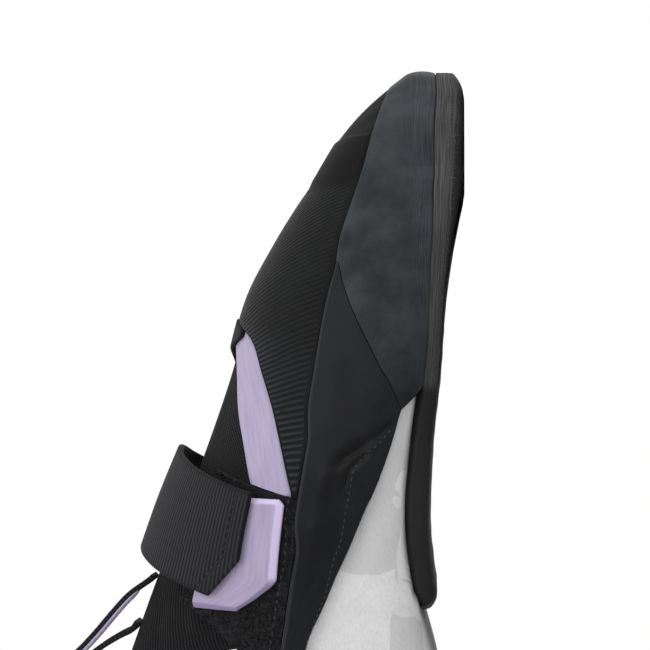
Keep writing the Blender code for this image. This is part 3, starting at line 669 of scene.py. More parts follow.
def shell(name, outer, inner, uv, finishes, seam=None, closed=False, values=None):
    """A closed sheet between two grids of points. Points on a seam that coincide are made one, and the two
    walls that then meet there cancel. Inner faces take the second finish, if there is one."""
    rows, columns = outer.shape[:2]
    count = rows * columns
    points = np.concatenate([outer.reshape(-1, 3), inner.reshape(-1, 3)])
    first = np.arange(2 * count)
    seams = np.zeros(2 * count, bool) if seam is None else np.concatenate([seam.ravel(), seam.ravel()])
    marked = np.flatnonzero(seams)
    if marked.size:
        first[marked] = marked[twins(points[marked])]
    faces = np.concatenate([
        quads(rows, columns, 0, False, closed), quads(rows, columns, count, True, closed)])
    inside = np.arange(len(faces)) >= len(faces) // 2
    walls = np.array([(b, a, a + count, b + count) for a, b in rim(rows, columns, closed)])
    faces = np.concatenate([faces, walls])
    inside = np.concatenate([inside, np.zeros(len(walls), bool)])
    rings = first[faces]
    joined = seams[faces].any(axis=1)
    kept = [(tuple(r), tuple(f), s) for r, f, s in zip(rings[~joined], faces[~joined], inside[~joined])]
    doubled = {}
    for ring, face, side in zip(rings[joined], faces[joined], inside[joined]):
        pairs = [(int(v), int(o)) for k, (v, o) in enumerate(zip(ring, face)) if v != ring[k - 1]]
        corners = [v for v, _o in pairs]
        if len(set(corners)) < 3 or len(set(corners)) < len(corners):
            continue
        key = frozenset(corners)
        if key in doubled:
            del doubled[key]
        else:
            doubled[key] = (tuple(corners), tuple(o for _v, o in pairs), side)
    kept += doubled.values()
    used = np.unique(np.concatenate([np.array(ring) for ring, _f, _s in kept]))
    number = np.full(2 * count, -1)
    number[used] = np.arange(len(used))
    mesh = bpy.data.meshes.new(name)
    mesh.from_pydata(points[used].tolist(), [], [[int(number[v]) for v in ring] for ring, _f, _s in kept])
    layer = mesh.uv_layers.new(name="surface_mm")
    flat = np.concatenate([uv.reshape(-1, 2), uv.reshape(-1, 2)])
    origin = np.concatenate([np.array(face) for _r, face, _s in kept])
    layer.data.foreach_set("uv", flat[origin].astype(np.float32).ravel())
    for key, value in (values or {}).items():
        attribute = mesh.attributes.new(key, "FLOAT", "POINT")
        both = np.concatenate([value.ravel(), value.ravel()])
        attribute.data.foreach_set("value", both[used].astype(np.float32))
    for finish in finishes:
        mesh.materials.append(in_finish(finish))
    if len(finishes) > 1:
        mesh.polygons.foreach_set("material_index", [int(side) for _r, _f, side in kept])
    return finished(name, mesh)


def finished(name, mesh):
    """Links a closed mesh as a smooth object with its faces pointing out."""
    count = len(mesh.vertices)
    co = np.zeros(count * 3)
    mesh.vertices.foreach_get("co", co)
    co = co.reshape(-1, 3)
    mesh.calc_loop_triangles()
    corners = np.zeros(len(mesh.loop_triangles) * 3, int)
    mesh.loop_triangles.foreach_get("vertices", corners)
    a, b, c = (co[corners.reshape(-1, 3)[:, k]] for k in range(3))
    if np.einsum("ij,ij->i", a, np.cross(b, c)).sum() < 0:
        mesh.flip_normals()
    mesh.shade_smooth()
    piece = bpy.data.objects.new(name, mesh)
    bpy.context.scene.collection.objects.link(piece)
    return piece


def cut(name, grid, stand_in, stand_out, finishes, radius, relief=0.0, values=None, inner_radius=None,
        uv=None):
    """A sheet over a grid, from one stand to another, with its outer edges rounded."""
    outer = grid.at(stand_out + relief - grid.rounding(radius))
    inner = grid.at(stand_in + (grid.rounding(inner_radius) if inner_radius else 0.0))
    uv = surface_mm(outer) if uv is None else uv
    return shell(name, outer, inner, uv, finishes, on_seam(grid.rises), grid.closed, values)


def stands_for(piece, slot, *nodes):
    """Puts a finished piece in the place of its solids."""
    if nodes:
        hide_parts(*nodes)
    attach(piece, "root")
    return piece


# Materials


def linear(code):
    """An sRGB hex colour as linear RGBA."""
    parts = [int(code[k:k + 2], 16) / 255 for k in (1, 3, 5)]
    return tuple(p / 12.92 if p <= 0.04045 else ((p + 0.055) / 1.055) ** 2.4 for p in parts) + (1.0,)


def add(tree, kind, settings=None, inputs=None):
    """A node with its settings, and its inputs set or linked."""
    node = tree.nodes.new(kind)
    for name, value in (settings or {}).items():
        setattr(node, name, value)
    for name, value in (inputs or {}).items():
        if isinstance(value, bpy.types.NodeSocket):
            tree.links.new(value, node.inputs[name])
        else:
            node.inputs[name].default_value = value
    return node


def fresh(name, **sockets):
    """A new material with its Principled shader's sockets set, its tree and its shader."""
    material = bpy.data.materials.new(name)
    material.use_nodes = True
    shader = material.node_tree.nodes["Principled BSDF"]
    for key, value in sockets.items():
        shader.inputs[key.replace("_", " ")].default_value = value
    return material, material.node_tree, shader


def grain(tree, where, size_mm, detail=3.0, rough=0.55, stretch=(1, 1, 1)):
    """Noise with grains of a size in mm, over Object coordinates in metres or a surface map in mm."""
    unit = 1.0 if where == "surface" else 1000.0
    if where == "surface":
        source = add(tree, "ShaderNodeUVMap", {"uv_map": "surface_mm"}).outputs["UV"]
    else:
        source = add(tree, "ShaderNodeTexCoord").outputs["Object"]
    scale = tuple(unit / (size_mm * s) for s in stretch)
    place = add(tree, "ShaderNodeMapping", None, {"Vector": source, "Scale": scale})
    noise = add(tree, "ShaderNodeTexNoise", None,
                {"Vector": place.outputs["Vector"], "Scale": 1.0, "Detail": detail, "Roughness": rough})
    return noise.outputs["Fac"]


def ramp(tree, value, low, high, start=0.0, end=1.0):
    """A value between two limits taken smoothly to another range."""
    place = add(tree, "ShaderNodeMapRange", {"interpolation_type": "SMOOTHSTEP"}, {
        "Value": value, "From Min": low, "From Max": high, "To Min": start, "To Max": end})
    return place.outputs["Result"]


def math_node(tree, operation, a, b=0.0, c=0.0):
    return add(tree, "ShaderNodeMath", {"operation": operation}, {0: a, 1: b, 2: c}).outputs[0]


def times(tree, a, b):
    return math_node(tree, "MULTIPLY", a, b)


def mixed(tree, factor, a, b):
    """Colour a to colour b by a factor."""
    return add(tree, "ShaderNodeMix", {"data_type": "RGBA"}, {0: factor, 6: a, 7: b}).outputs[2]


def tinted(tree, colour, factor, share, code):
    """A colour with a share of another laid over it, where a factor says."""
    return mixed(tree, times(tree, factor, share), colour, linear(code))


def pressed(tree, shader, reliefs):
    """Chains reliefs, each a height 0 to 1 with its depth in mm, into the shader's normal."""
    normal = None
    for height, depth in reliefs:
        inputs = {"Height": height, "Distance": depth / 1000, "Strength": 1.0}
        if normal is not None:
            inputs["Normal"] = normal
        normal = add(tree, "ShaderNodeBump", None, inputs).outputs["Normal"]
    tree.links.new(normal, shader.inputs["Normal"])


def attribute(tree, name):
    return add(tree, "ShaderNodeAttribute", {"attribute_name": name}).outputs["Fac"]


def climbing_rubber(settings):
    """Sticky rubber, calendered and then ground at the edge: matte and near black, the ground band greyer,
    with streaks along the edge and a nap of torn crumbs on its fold."""
    material, tree, shader = fresh("climbing_rubber", Roughness=0.62, IOR=1.52, Specular_IOR_Level=0.22)
    ground = attribute(tree, "ground")
    fold = attribute(tree, "fold")
    cloud = grain(tree, "object", 14.0, 4.0)
    # Grit of 0.2 mm abrasive; the crumbs are drawn at 0.45 mm so that they show.
    grit = grain(tree, "object", 0.45, 2.0, 0.6)
    streaks = grain(tree, "surface", 0.35, 2.0, 0.6, (60.0, 1.0, 1.0))
    crumbs = times(tree, ramp(tree, grit, 0.56, 0.70), fold)
    face = mixed(tree, ramp(tree, cloud, 0.35, 0.7), linear("#161617"), (*settings.rubber, 1))
    sanded = mixed(tree, ramp(tree, streaks, 0.35, 0.68), linear("#2d2d2e"), linear("#4d4d4d"))
    colour = mixed(tree, ground, face, sanded)
    colour = tinted(tree, colour, crumbs, 0.75, "#6a6866")
    tree.links.new(colour, shader.inputs["Base Color"])
    rough = math_node(tree, "ADD", ramp(tree, cloud, 0.3, 0.7, 0.50, 0.62), times(tree, ground, 0.2))
    tree.links.new(rough, shader.inputs["Roughness"])
    pressed(tree, shader, [
        (grain(tree, "object", 9.0, 2.0), 0.25),
        (times(tree, streaks, ramp(tree, ground, 0.0, 1.0, 0.15, 1.0)), 0.16),
        (grit, 0.05),
        (crumbs, 0.12)])
    return material


def rand_rubber(settings):
    """Rand rubber, thin and stretched over the last: smoother than the sole, faintly blue, with buffing
    lines along it and a dry grey bloom. Painted highlight near the sole seam and on the upper edge,
    painted shade in the creases, over the side rand and over the rear of the front rand."""
    material, tree, shader = fresh("rand_rubber", Roughness=0.5, IOR=1.52, Specular_IOR_Level=0.10)
    bloom = grain(tree, "object", 16.0, 4.0, 0.6)
    # Buffing lines are about 0.1 mm wide; drawn at 0.4 mm.
    lines = grain(tree, "surface", 0.4, 3.0, 0.65, (40.0, 1.0, 1.0))
    dust = grain(tree, "object", 0.5, 2.0)
    colour = mixed(tree, ramp(tree, bloom, 0.3, 0.72), linear("#1d1f22"), (*settings.rand, 1))
    colour = tinted(tree, colour, ramp(tree, lines, 0.55, 0.8), 0.18, "#3a3e44")
    colour = tinted(tree, colour, ramp(tree, dust, 0.68, 0.76), 0.2, "#565a60")
    # Painted highlight: the buffing lines are paler in a band near the sole seam.
    seam_highlight = times(tree, ramp(tree, lines, 0.38, 0.66), attribute(tree, "seam_highlight"))
    colour = tinted(tree, colour, seam_highlight, 0.5, "#464a50")
    # Painted shade: the rand is taken most of the way to near black where this attribute is low, which is
    # all of the side rand and the rear of the front rand.
    colour = mixed(tree, attribute(tree, "ripple_and_shade_lift"), mixed(tree, 0.85, colour, linear("#0a0a0c")), colour)
    # Painted highlight along the rand's upper edge.
    colour = tinted(tree, colour, attribute(tree, "rim"), 0.4, "#3c3f43")
    # Painted shade in the creases of the rand.
    colour = tinted(tree, colour, attribute(tree, "crease_shade"), 0.8, "#060607")
    tree.links.new(colour, shader.inputs["Base Color"])
    tree.links.new(ramp(tree, bloom, 0.3, 0.7, 0.38, 0.54), shader.inputs["Roughness"])
    pressed(tree, shader, [
        (grain(tree, "object", 11.0, 2.0), 0.3),
        (lines, 0.05),
        (dust, 0.025)])
    return material


def ribbed_rubber(settings):
    """Moulded patch over the toes: ribs 1.2 mm apart that fan out towards the toe, broken here and there,
    glossier on their crowns, with a painted highlight on the crowns that grows towards the trim."""
    material, tree, shader = fresh("ribbed_rubber", Roughness=0.45, IOR=1.52, Specular_IOR_Level=0.10)
    waver = times(tree, grain(tree, "object", 9.0, 1.0), 0.0008)
    across = math_node(tree, "ADD", attribute(tree, "rib_place"), waver)
    half = settings.rib_pitch / 2
    rib = ramp(tree, math_node(tree, "PINGPONG", across, half), 0.15 * half, 0.75 * half)
    breaks = ramp(tree, grain(tree, "object", 1.6, 2.0, 0.6, (1.0, 0.5, 1.6)), 0.22, 0.38)
    ribs = times(tree, rib, times(tree, breaks, attribute(tree, "ribbed")))
    bloom = grain(tree, "object", 10.0, 3.0)
    # Painted highlight: the rib crowns are paler where this attribute is high, most near the trim.
    crowns = math_node(tree, "POWER", attribute(tree, "ribbed"), 2.0)
    crown_highlight_colour = mixed(tree, crowns, linear("#0d0e10"), linear("#282b2e"))
    colour = mixed(tree, ribs, linear("#070708"), crown_highlight_colour)
    colour = tinted(tree, colour, ramp(tree, bloom, 0.45, 0.75), 0.3, "#191b1d")
    tree.links.new(colour, shader.inputs["Base Color"])
    tree.links.new(ramp(tree, ribs, 0.0, 1.0, 0.62, 0.34), shader.inputs["Roughness"])
    pressed(tree, shader, [
        (grain(tree, "object", 8.0, 2.0), 0.2),
        (ribs, 0.28),
        (grain(tree, "object", 0.4, 2.0), 0.02)])
    return material


def microsuede(settings):
    """Microfibre suede, printed in two greys and brushed: no gloss, a soft nap that lies in patches."""
    material, tree, shader = fresh(
        "microsuede", Roughness=0.95, IOR=1.45, Specular_IOR_Level=0.15, Sheen_Weight=0.25,
        Sheen_Roughness=0.6)
    source = add(tree, "ShaderNodeTexCoord").outputs["Object"]
    # The print's blocks are 21 and 15 mm, with edges that waver by 2 mm.
    jag = add(tree, "ShaderNodeTexNoise", None, {"Vector": source, "Scale": 150.0, "Detail": 1.0})
    bent = add(tree, "ShaderNodeMixRGB", {"blend_type": "ADD"},
               {0: 0.0022, 1: source, 2: jag.outputs["Color"]})
    masks = []
    for size, offset, share in ((0.021, 0.0, 0.42), (0.015, 3.7, 0.24)):
        moved_on = add(tree, "ShaderNodeMapping", None, {
            "Vector": bent.outputs[0], "Location": (offset, offset, 0), "Scale": (0.75, 0.8, 1.25)})
        cells = add(tree, "ShaderNodeTexVoronoi", {"distance": "CHEBYCHEV"},
                    {"Vector": moved_on.outputs[0], "Scale": 1 / size})
        tone = add(tree, "ShaderNodeSeparateColor", None, {0: cells.outputs["Color"]}).outputs[0]
        masks.append(math_node(tree, "LESS_THAN", tone, share))
    nap = grain(tree, "object", 5.0, 4.0, 0.65)
    # Fibres of 0.1 mm, drawn at 0.5 mm and lying back towards the heel.
    fibre = grain(tree, "object", 0.5, 4.0, 0.7, (1.0, 2.2, 0.8))
    colour = mixed(tree, masks[0], (*settings.suede, 1), (*settings.suede_print, 1))
    colour = mixed(tree, times(tree, masks[1], 0.8), colour, (*settings.suede_print, 1))
    colour = mixed(tree, ramp(tree, nap, 0.35, 0.75, 0.0, 0.14), colour, linear("#a7a7ab"))
    colour = mixed(tree, ramp(tree, fibre, 0.42, 0.75, 0.0, 0.26), colour, linear("#8a8a8c"))
    # Darker along the sole's top edge and just behind the sole's rear end.
    colour = tinted(tree, colour, attribute(tree, "darker_by_sole"), 0.7, "#5f5f62")
    colour = tinted(tree, colour, attribute(tree, "glue"), 0.8, "#6a4c2c")
    tree.links.new(colour, shader.inputs["Base Color"])
    pressed(tree, shader, [(nap, 0.30), (fibre, 0.10)])
    return material


def lining(settings):
    """Brushed polyester lining, mid grey and plain."""
    material, tree, shader = fresh("lining", Roughness=0.95, Specular_IOR_Level=0.15, Sheen_Weight=0.2)
    fibre = grain(tree, "surface", 0.6, 3.0)
    tree.links.new(mixed(tree, fibre, linear("#6f7073"), linear("#98999c")), shader.inputs["Base Color"])
    pressed(tree, shader, [(fibre, 0.12)])
    return material


def insole_board(settings):
    """Pressed fibre board under a dark cloth, fine and even."""
    material, tree, shader = fresh("insole_board", Roughness=0.9, Specular_IOR_Level=0.2)
    fibre = grain(tree, "object", 0.7, 3.0)
    tree.links.new(mixed(tree, fibre, linear("#48494c"), linear("#626366")), shader.inputs["Base Color"])
    pressed(tree, shader, [(fibre, 0.1)])
    return material


def ribbed_knit(settings):
    """Elastic knit: rows of small stitches 1.1 mm apart that run slanting up the tongue."""
    material, tree, shader = fresh("ribbed_knit", Roughness=0.85, Specular_IOR_Level=0.12,
                                   Sheen_Weight=0.03)
    surface = add(tree, "ShaderNodeUVMap", {"uv_map": "surface_mm"}).outputs["UV"]
    turned = add(tree, "ShaderNodeMapping", None,
                 {"Vector": surface, "Rotation": (0, 0, math.radians(-24))})
    place = add(tree, "ShaderNodeSeparateXYZ", None, {0: turned.outputs[0]})
    half_row = settings.knit_pitch * 500
    half_stitch = settings.knit_pitch * 400
    row = math_node(tree, "PINGPONG", place.outputs["Y"], half_row)
    row = ramp(tree, row, 0.1 * half_row, 0.9 * half_row)
    slant = math_node(tree, "MULTIPLY_ADD", place.outputs["Y"], 0.6, place.outputs["X"])
    stitch = ramp(tree, math_node(tree, "PINGPONG", slant, half_stitch), 0.0, half_stitch)
    loops = times(tree, row, ramp(tree, stitch, 0.0, 1.0, 0.55, 1.0))
    lint = grain(tree, "surface", 0.5, 3.0)
    colour = mixed(tree, loops, linear("#060607"), linear("#17181b"))
    colour = mixed(tree, ramp(tree, lint, 0.6, 0.8, 0.0, 0.3), colour, linear("#2a2b2f"))
    tree.links.new(colour, shader.inputs["Base Color"])
    pressed(tree, shader, [(loops, 0.35), (lint, 0.06)])
    return material


def grosgrain(settings):
    """Ribbed webbing of black polyester: ribs of weft yarn that run straight across and are flatter in the
    selvage, with lint on them."""
    material, tree, shader = fresh("grosgrain", Roughness=0.75, Specular_IOR_Level=0.15, Sheen_Weight=0.03)
    rib = math_node(tree, "PINGPONG", attribute(tree, "rib_count"), 0.5)
    crown = times(tree, ramp(tree, rib, 0.04, 0.40), attribute(tree, "rib_body"))
    yarn = grain(tree, "surface", 0.3, 2.0, 0.6, (1.0, 3.0, 1.0))
    lint = grain(tree, "object", 0.5, 3.0)
    colour = mixed(tree, crown, linear("#0b0b0d"), linear("#262629"))
    colour = mixed(tree, ramp(tree, lint, 0.58, 0.78, 0.0, 0.35), colour, linear("#353538"))
    tree.links.new(colour, shader.inputs["Base Color"])
    pressed(tree, shader, [(crown, 0.20), (yarn, 0.08), (lint, 0.05)])
    return material


def loop_yarn(settings):
    """Nylon loop pile, black with a slight shine on single yarns."""
    material, tree, shader = fresh("loop_yarn", Roughness=0.6, Specular_IOR_Level=0.2)
    tuft = grain(tree, "object", 0.8, 2.0)
    tree.links.new(mixed(tree, tuft, linear("#040405"), linear("#262629")), shader.inputs["Base Color"])
    pressed(tree, shader, [(tuft, 0.08)])
    return material


def moulded_grip(settings):
    """Injection moulded plastic in pale purple: satin, faintly flowed, with a painted highlight on its
    bevelled sides and painted shade at its rear corner."""
    material, tree, shader = fresh("moulded_grip", Roughness=0.48, IOR=1.47, Specular_IOR_Level=0.4)
    flow = grain(tree, "surface", 1.6, 3.0, 0.55, (8.0, 1.0, 1.0))
    scuff = grain(tree, "surface", 0.5, 3.0, 0.6, (12.0, 1.0, 1.0))
    colour = mixed(tree, ramp(tree, flow, 0.3, 0.7), (*settings.trim, 1), (*settings.trim_light, 1))
    colour = mixed(tree, ramp(tree, scuff, 0.60, 0.8, 0.0, 0.3), colour, linear("#83789b"))
    # Painted highlight on the bevelled sides, then painted shade at the rear corner.
    colour = tinted(tree, colour, attribute(tree, "bevel_painted_light"), 0.75, "#cdbfe0")
    colour = tinted(tree, colour, attribute(tree, "shade"), 0.6, "#6c5f84")
    tree.links.new(colour, shader.inputs["Base Color"])
    tree.links.new(ramp(tree, flow, 0.3, 0.7, 0.42, 0.55), shader.inputs["Roughness"])
    pressed(tree, shader, [(flow, 0.10), (grain(tree, "object", 0.35, 2.0), 0.015)])
    return material


def sewing_thread(settings):
    """Bonded polyester thread, twisted: dull grey."""
    material, tree, shader = fresh("sewing_thread", Roughness=0.6, Specular_IOR_Level=0.4)
    twist = grain(tree, "object", 0.3, 1.0)
    tree.links.new(mixed(tree, twist, linear("#39393c"), linear("#6a6a6e")), shader.inputs["Base Color"])
    pressed(tree, shader, [(twist, 0.03)])
    return material


def black_thread(settings):
    """The same thread in black."""
    material, tree, shader = fresh("black_thread", Roughness=0.55, Specular_IOR_Level=0.4)
    twist = grain(tree, "object", 0.3, 1.0)
    tree.links.new(mixed(tree, twist, linear("#161618"), linear("#3b3b3f")), shader.inputs["Base Color"])
    pressed(tree, shader, [(twist, 0.03)])
    return material


def studio_paper(settings):
    """Seamless white paper, matte, lit to plain white away from the shoe so that no far edge shows."""
    material, tree, shader = fresh("studio_paper", Roughness=0.9, Specular_IOR_Level=0.1)
    tone = grain(tree, "object", 900.0, 2.0)
    tree.links.new(mixed(tree, tone, linear("#f4f4f4"), linear("#fbfbfb")), shader.inputs["Base Color"])
    source = add(tree, "ShaderNodeTexCoord").outputs["Object"]
    away = add(tree, "ShaderNodeVectorMath", {"operation": "LENGTH"}, {0: source}).outputs["Value"]
    shader.inputs["Emission Color"].default_value = linear("#ffffff")
    tree.links.new(ramp(tree, away, 0.22, 0.75, 0.0, 1.0), shader.inputs["Emission Strength"])
    return material


FINISHES = {}


def in_finish(make):
    """One material for each finish, made when first asked for from the colours in the panel."""
    if make not in FINISHES:
        FINISHES[make] = make(bpy.context.scene.shoe_colours)
    return FINISHES[make]


# Geometry Nodes


def node_tree(name, inputs):
    """A geometry tree with a geometry input and named inputs of a type and default."""
    tree = bpy.data.node_groups.new(name, "GeometryNodeTree")
    tree.interface.new_socket("Geometry", in_out="INPUT", socket_type="NodeSocketGeometry")
    for label, (kind, value) in inputs.items():
        socket = tree.interface.new_socket(label, in_out="INPUT", socket_type=kind)
        if value is not None:
            socket.default_value = value
    tree.interface.new_socket("Geometry", in_out="OUTPUT", socket_type="NodeSocketGeometry")
    return tree


def grown(name, source, tree, values):
    """Runs a geometry tree on a mesh and returns the result as a plain mesh object."""
    carrier = bpy.data.objects.new(name + "_source", source)
    bpy.context.scene.collection.objects.link(carrier)
    modifier = carrier.modifiers.new("grow", "NODES")
    modifier.node_group = tree
    for item in tree.interface.items_tree:
        if item.item_type == "SOCKET" and item.in_out == "INPUT" and item.name in values:
            modifier[item.identifier] = values[item.name]
    graph = bpy.context.evaluated_depsgraph_get()
    mesh = bpy.data.meshes.new_from_object(carrier.evaluated_get(graph))
    bpy.data.objects.remove(carrier, do_unlink=True)
    mesh.name = name
    piece = bpy.data.objects.new(name, mesh)
    mesh.shade_smooth()
    bpy.context.scene.collection.objects.link(piece)
    return piece


def stitch_tree():
    """Stitches along a line of edges: a short fat thread at every pitch, turned along the line."""
    tree = node_tree("stitch_run", {
        "Pitch": ("NodeSocketFloat", 0.0022), "Stitch": ("NodeSocketFloat", 0.0014),
        "Thread": ("NodeSocketFloat", 0.0005), "Material": ("NodeSocketMaterial", None)})
    entry = add(tree, "NodeGroupInput")
    line = add(tree, "GeometryNodeMeshToCurve", None, {0: entry.outputs["Geometry"]})
    even = add(tree, "GeometryNodeResampleCurve", {"mode": "LENGTH"}, {"Curve": line.outputs[0],
               "Length": entry.outputs["Pitch"]})
    bead = add(tree, "GeometryNodeMeshUVSphere", None, {"Segments": 8, "Rings": 6, "Radius": 0.5})
    size = add(tree, "ShaderNodeCombineXYZ", None, {
        "X": entry.outputs["Thread"], "Y": entry.outputs["Thread"], "Z": entry.outputs["Stitch"]})
    tangent = add(tree, "GeometryNodeInputTangent")
    turn = add(tree, "FunctionNodeAlignRotationToVector", {"axis": "Z"}, {"Vector": tangent.outputs[0]})
    placed = add(tree, "GeometryNodeInstanceOnPoints", None, {
        "Points": even.outputs[0], "Instance": bead.outputs["Mesh"], "Rotation": turn.outputs[0],
        "Scale": size.outputs[0]})
    real = add(tree, "GeometryNodeRealizeInstances", None, {0: placed.outputs[0]})
    dressed = add(tree, "GeometryNodeSetMaterial", None, {
        "Geometry": real.outputs[0], "Material": entry.outputs["Material"]})
    add(tree, "NodeGroupOutput", None, {0: dressed.outputs[0]})
    return tree


def pile_tree():
    """Loops of yarn all over a face, each a small arc turned at random about the face's normal."""
    tree = node_tree("loop_pile", {
        "Density": ("NodeSocketFloat", PILE_DENSITY), "Loop height": ("NodeSocketFloat", PILE_LOOP),
        "Seed": ("NodeSocketInt", 7), "Material": ("NodeSocketMaterial", None)})
    entry = add(tree, "NodeGroupInput")
    points = add(tree, "GeometryNodeDistributePointsOnFaces", None, {
        "Mesh": entry.outputs["Geometry"], "Density": entry.outputs["Density"],
        "Seed": entry.outputs["Seed"]})
    arc = add(tree, "GeometryNodeCurveArc", None, {
        "Resolution": 6, "Radius": 0.5, "Start Angle": math.radians(-35), "Sweep Angle": math.radians(250)})
    upright = add(tree, "GeometryNodeTransform", None, {
        0: arc.outputs[0], "Rotation": (math.radians(90), 0, 0), "Translation": (0, 0, 0.25)})
    ring = add(tree, "GeometryNodeCurvePrimitiveCircle", None, {"Resolution": 3, "Radius": 0.085})
    yarn = add(tree, "GeometryNodeCurveToMesh", None, {
        "Curve": upright.outputs[0], "Profile Curve": ring.outputs[0], "Fill Caps": True})
    spin = add(tree, "FunctionNodeRandomValue", {"data_type": "FLOAT"}, {
        "Min": 0.0, "Max": 2 * math.pi, "Seed": entry.outputs["Seed"]})
    lean = add(tree, "FunctionNodeRandomValue", {"data_type": "FLOAT"},
               {"Min": -0.7, "Max": 0.7, "Seed": 11})
    own = add(tree, "ShaderNodeCombineXYZ", None, {"X": lean.outputs[1], "Z": spin.outputs[1]})
    own_turn = add(tree, "FunctionNodeEulerToRotation", None, {0: own.outputs[0]})
    turned = add(tree, "FunctionNodeRotateRotation", {"rotation_space": "LOCAL"}, {
        "Rotation": points.outputs["Rotation"], "Rotate By": own_turn.outputs[0]})
    vary = add(tree, "FunctionNodeRandomValue", {"data_type": "FLOAT"},
               {"Min": 0.6, "Max": 1.5, "Seed": 23})
    size = times(tree, vary.outputs[1], entry.outputs["Loop height"])
    placed = add(tree, "GeometryNodeInstanceOnPoints", None, {
        "Points": points.outputs["Points"], "Instance": yarn.outputs[0],
        "Rotation": turned.outputs[0], "Scale": size})
    real = add(tree, "GeometryNodeRealizeInstances", None, {0: placed.outputs[0]})
    dressed = add(tree, "GeometryNodeSetMaterial", None, {
        "Geometry": real.outputs[0], "Material": entry.outputs["Material"]})
    add(tree, "NodeGroupOutput", None, {0: dressed.outputs[0]})
    return tree


def stitches(name, points, pitch, thread, finish):
    """One run of stitches through points."""
    line = bpy.data.meshes.new(name)
    line.from_pydata(points.tolist(), [(k, k + 1) for k in range(len(points) - 1)], [])
    length, thick = thread
    return grown(name, line, stitch_tree(), {
        "Pitch": pitch, "Stitch": length, "Thread": thick, "Material": in_finish(finish)})


def run_on_skin(rows, stand, side, pressed_in=None):
    """Smooth line on one side of the skin, through rows of share of LENGTH and rise, over folds."""
    rows = np.array(rows, float)
    where, rises = through(rows, np.linspace(0, len(rows) - 1, 160)).T
    ways = side(where)
    base = skin(ways, rises)
    if pressed_in is not None:
        stand = (stand + folds(base, pressed_in))[:, None]
    return base + skin_normal(ways, rises) * stand


def through(rows, x):
    """Rounded curve through rows of numbers, read at places counted in rows."""
    i = np.clip(np.floor(x).astype(int), 0, len(rows) - 2)
    s = (x - i).reshape((-1,) + (1,) * (rows.ndim - 1))
    before = rows[np.clip(i - 1, 0, None)]
    after = rows[np.clip(i + 2, None, len(rows) - 1)]
    a, b = rows[i], rows[i + 1]
    return (a + 0.5 * s * (b - before + s * (2 * before - 5 * a + 4 * b - after
            + s * (3 * (a - b) + after - before))))


def eased(x, low, high):
    """0 below low, 1 above high, smooth between."""
    s = np.clip((x - low) / (high - low), 0, 1)
    return s * s * (3 - 2 * s)


def last_y(points):
    """Distance from the back of the last's heel."""
    return points[..., 1] - MIDDLE[1]


# Operators


class ShoeColours(bpy.types.PropertyGroup):
    """Colours and pitches that a user would change."""
    rubber: bpy.props.FloatVectorProperty(
        name="Sole rubber", description="Face of the sole", subtype="COLOR", size=3,
        default=linear("#1b1b1c")[:3])
    rand: bpy.props.FloatVectorProperty(
        name="Rand rubber", description="Face of the rands", subtype="COLOR", size=3,
        default=linear("#373a3e")[:3])
    suede: bpy.props.FloatVectorProperty(
        name="Suede", description="Ground colour of the upper", subtype="COLOR", size=3,
        default=linear("#bfbfc0")[:3])
    suede_print: bpy.props.FloatVectorProperty(
        name="Suede print", description="Paler patches of the upper", subtype="COLOR", size=3,
        default=linear("#d3d3d4")[:3])
    trim: bpy.props.FloatVectorProperty(
        name="Trim", description="Throat trim and strap grip", subtype="COLOR", size=3,
        default=linear("#958ba8")[:3])
    trim_light: bpy.props.FloatVectorProperty(
        name="Trim, light", description="Paler flow in the trim", subtype="COLOR", size=3,
        default=linear("#a298b2")[:3])
    rib_pitch: bpy.props.FloatProperty(
        name="Rib pitch", description="From rib to rib of the toe patch", unit="LENGTH", default=0.00125)
    knit_pitch: bpy.props.FloatProperty(
        name="Knit pitch", description="From row to row of the knit", unit="LENGTH", default=0.0011)
    strap_rib: bpy.props.FloatProperty(
        name="Strap rib", description="From rib to rib of the webbing", unit="LENGTH", default=0.0011)
    stitch_pitch: bpy.props.FloatProperty(
        name="Stitch pitch", description="From stitch to stitch", unit="LENGTH", default=0.0022)


class StageSettings(bpy.types.PropertyGroup):
    """Where the camera stands and how it frames the shoe."""
    distance: bpy.props.FloatProperty(
        name="Distance", description="From the camera to the shoe's middle", unit="LENGTH", default=0.55)
    height: bpy.props.FloatProperty(
        name="Height", description="Camera above the floor", unit="LENGTH", default=0.0003)
    azimuth: bpy.props.FloatProperty(
        name="Azimuth", description="90 degrees looks at the outer side", subtype="ANGLE",
        default=math.radians(88.4))
    view_width: bpy.props.FloatProperty(
        name="View", description="Width of the frame at the shoe", unit="LENGTH", default=0.1697)
    aim_y: bpy.props.FloatProperty(
        name="Aim along", description="Middle of the frame, along the shoe", unit="LENGTH", default=0.0460)
    aim_z: bpy.props.FloatProperty(
        name="Aim up", description="Middle of the frame, above the floor", unit="LENGTH", default=0.0365)
    key: bpy.props.FloatProperty(
        name="Key light", description="Power of the large soft light", unit="POWER", default=5.0)
    fill: bpy.props.FloatProperty(
        name="Fill", description="Strength of the white surroundings as a light", default=0.8)


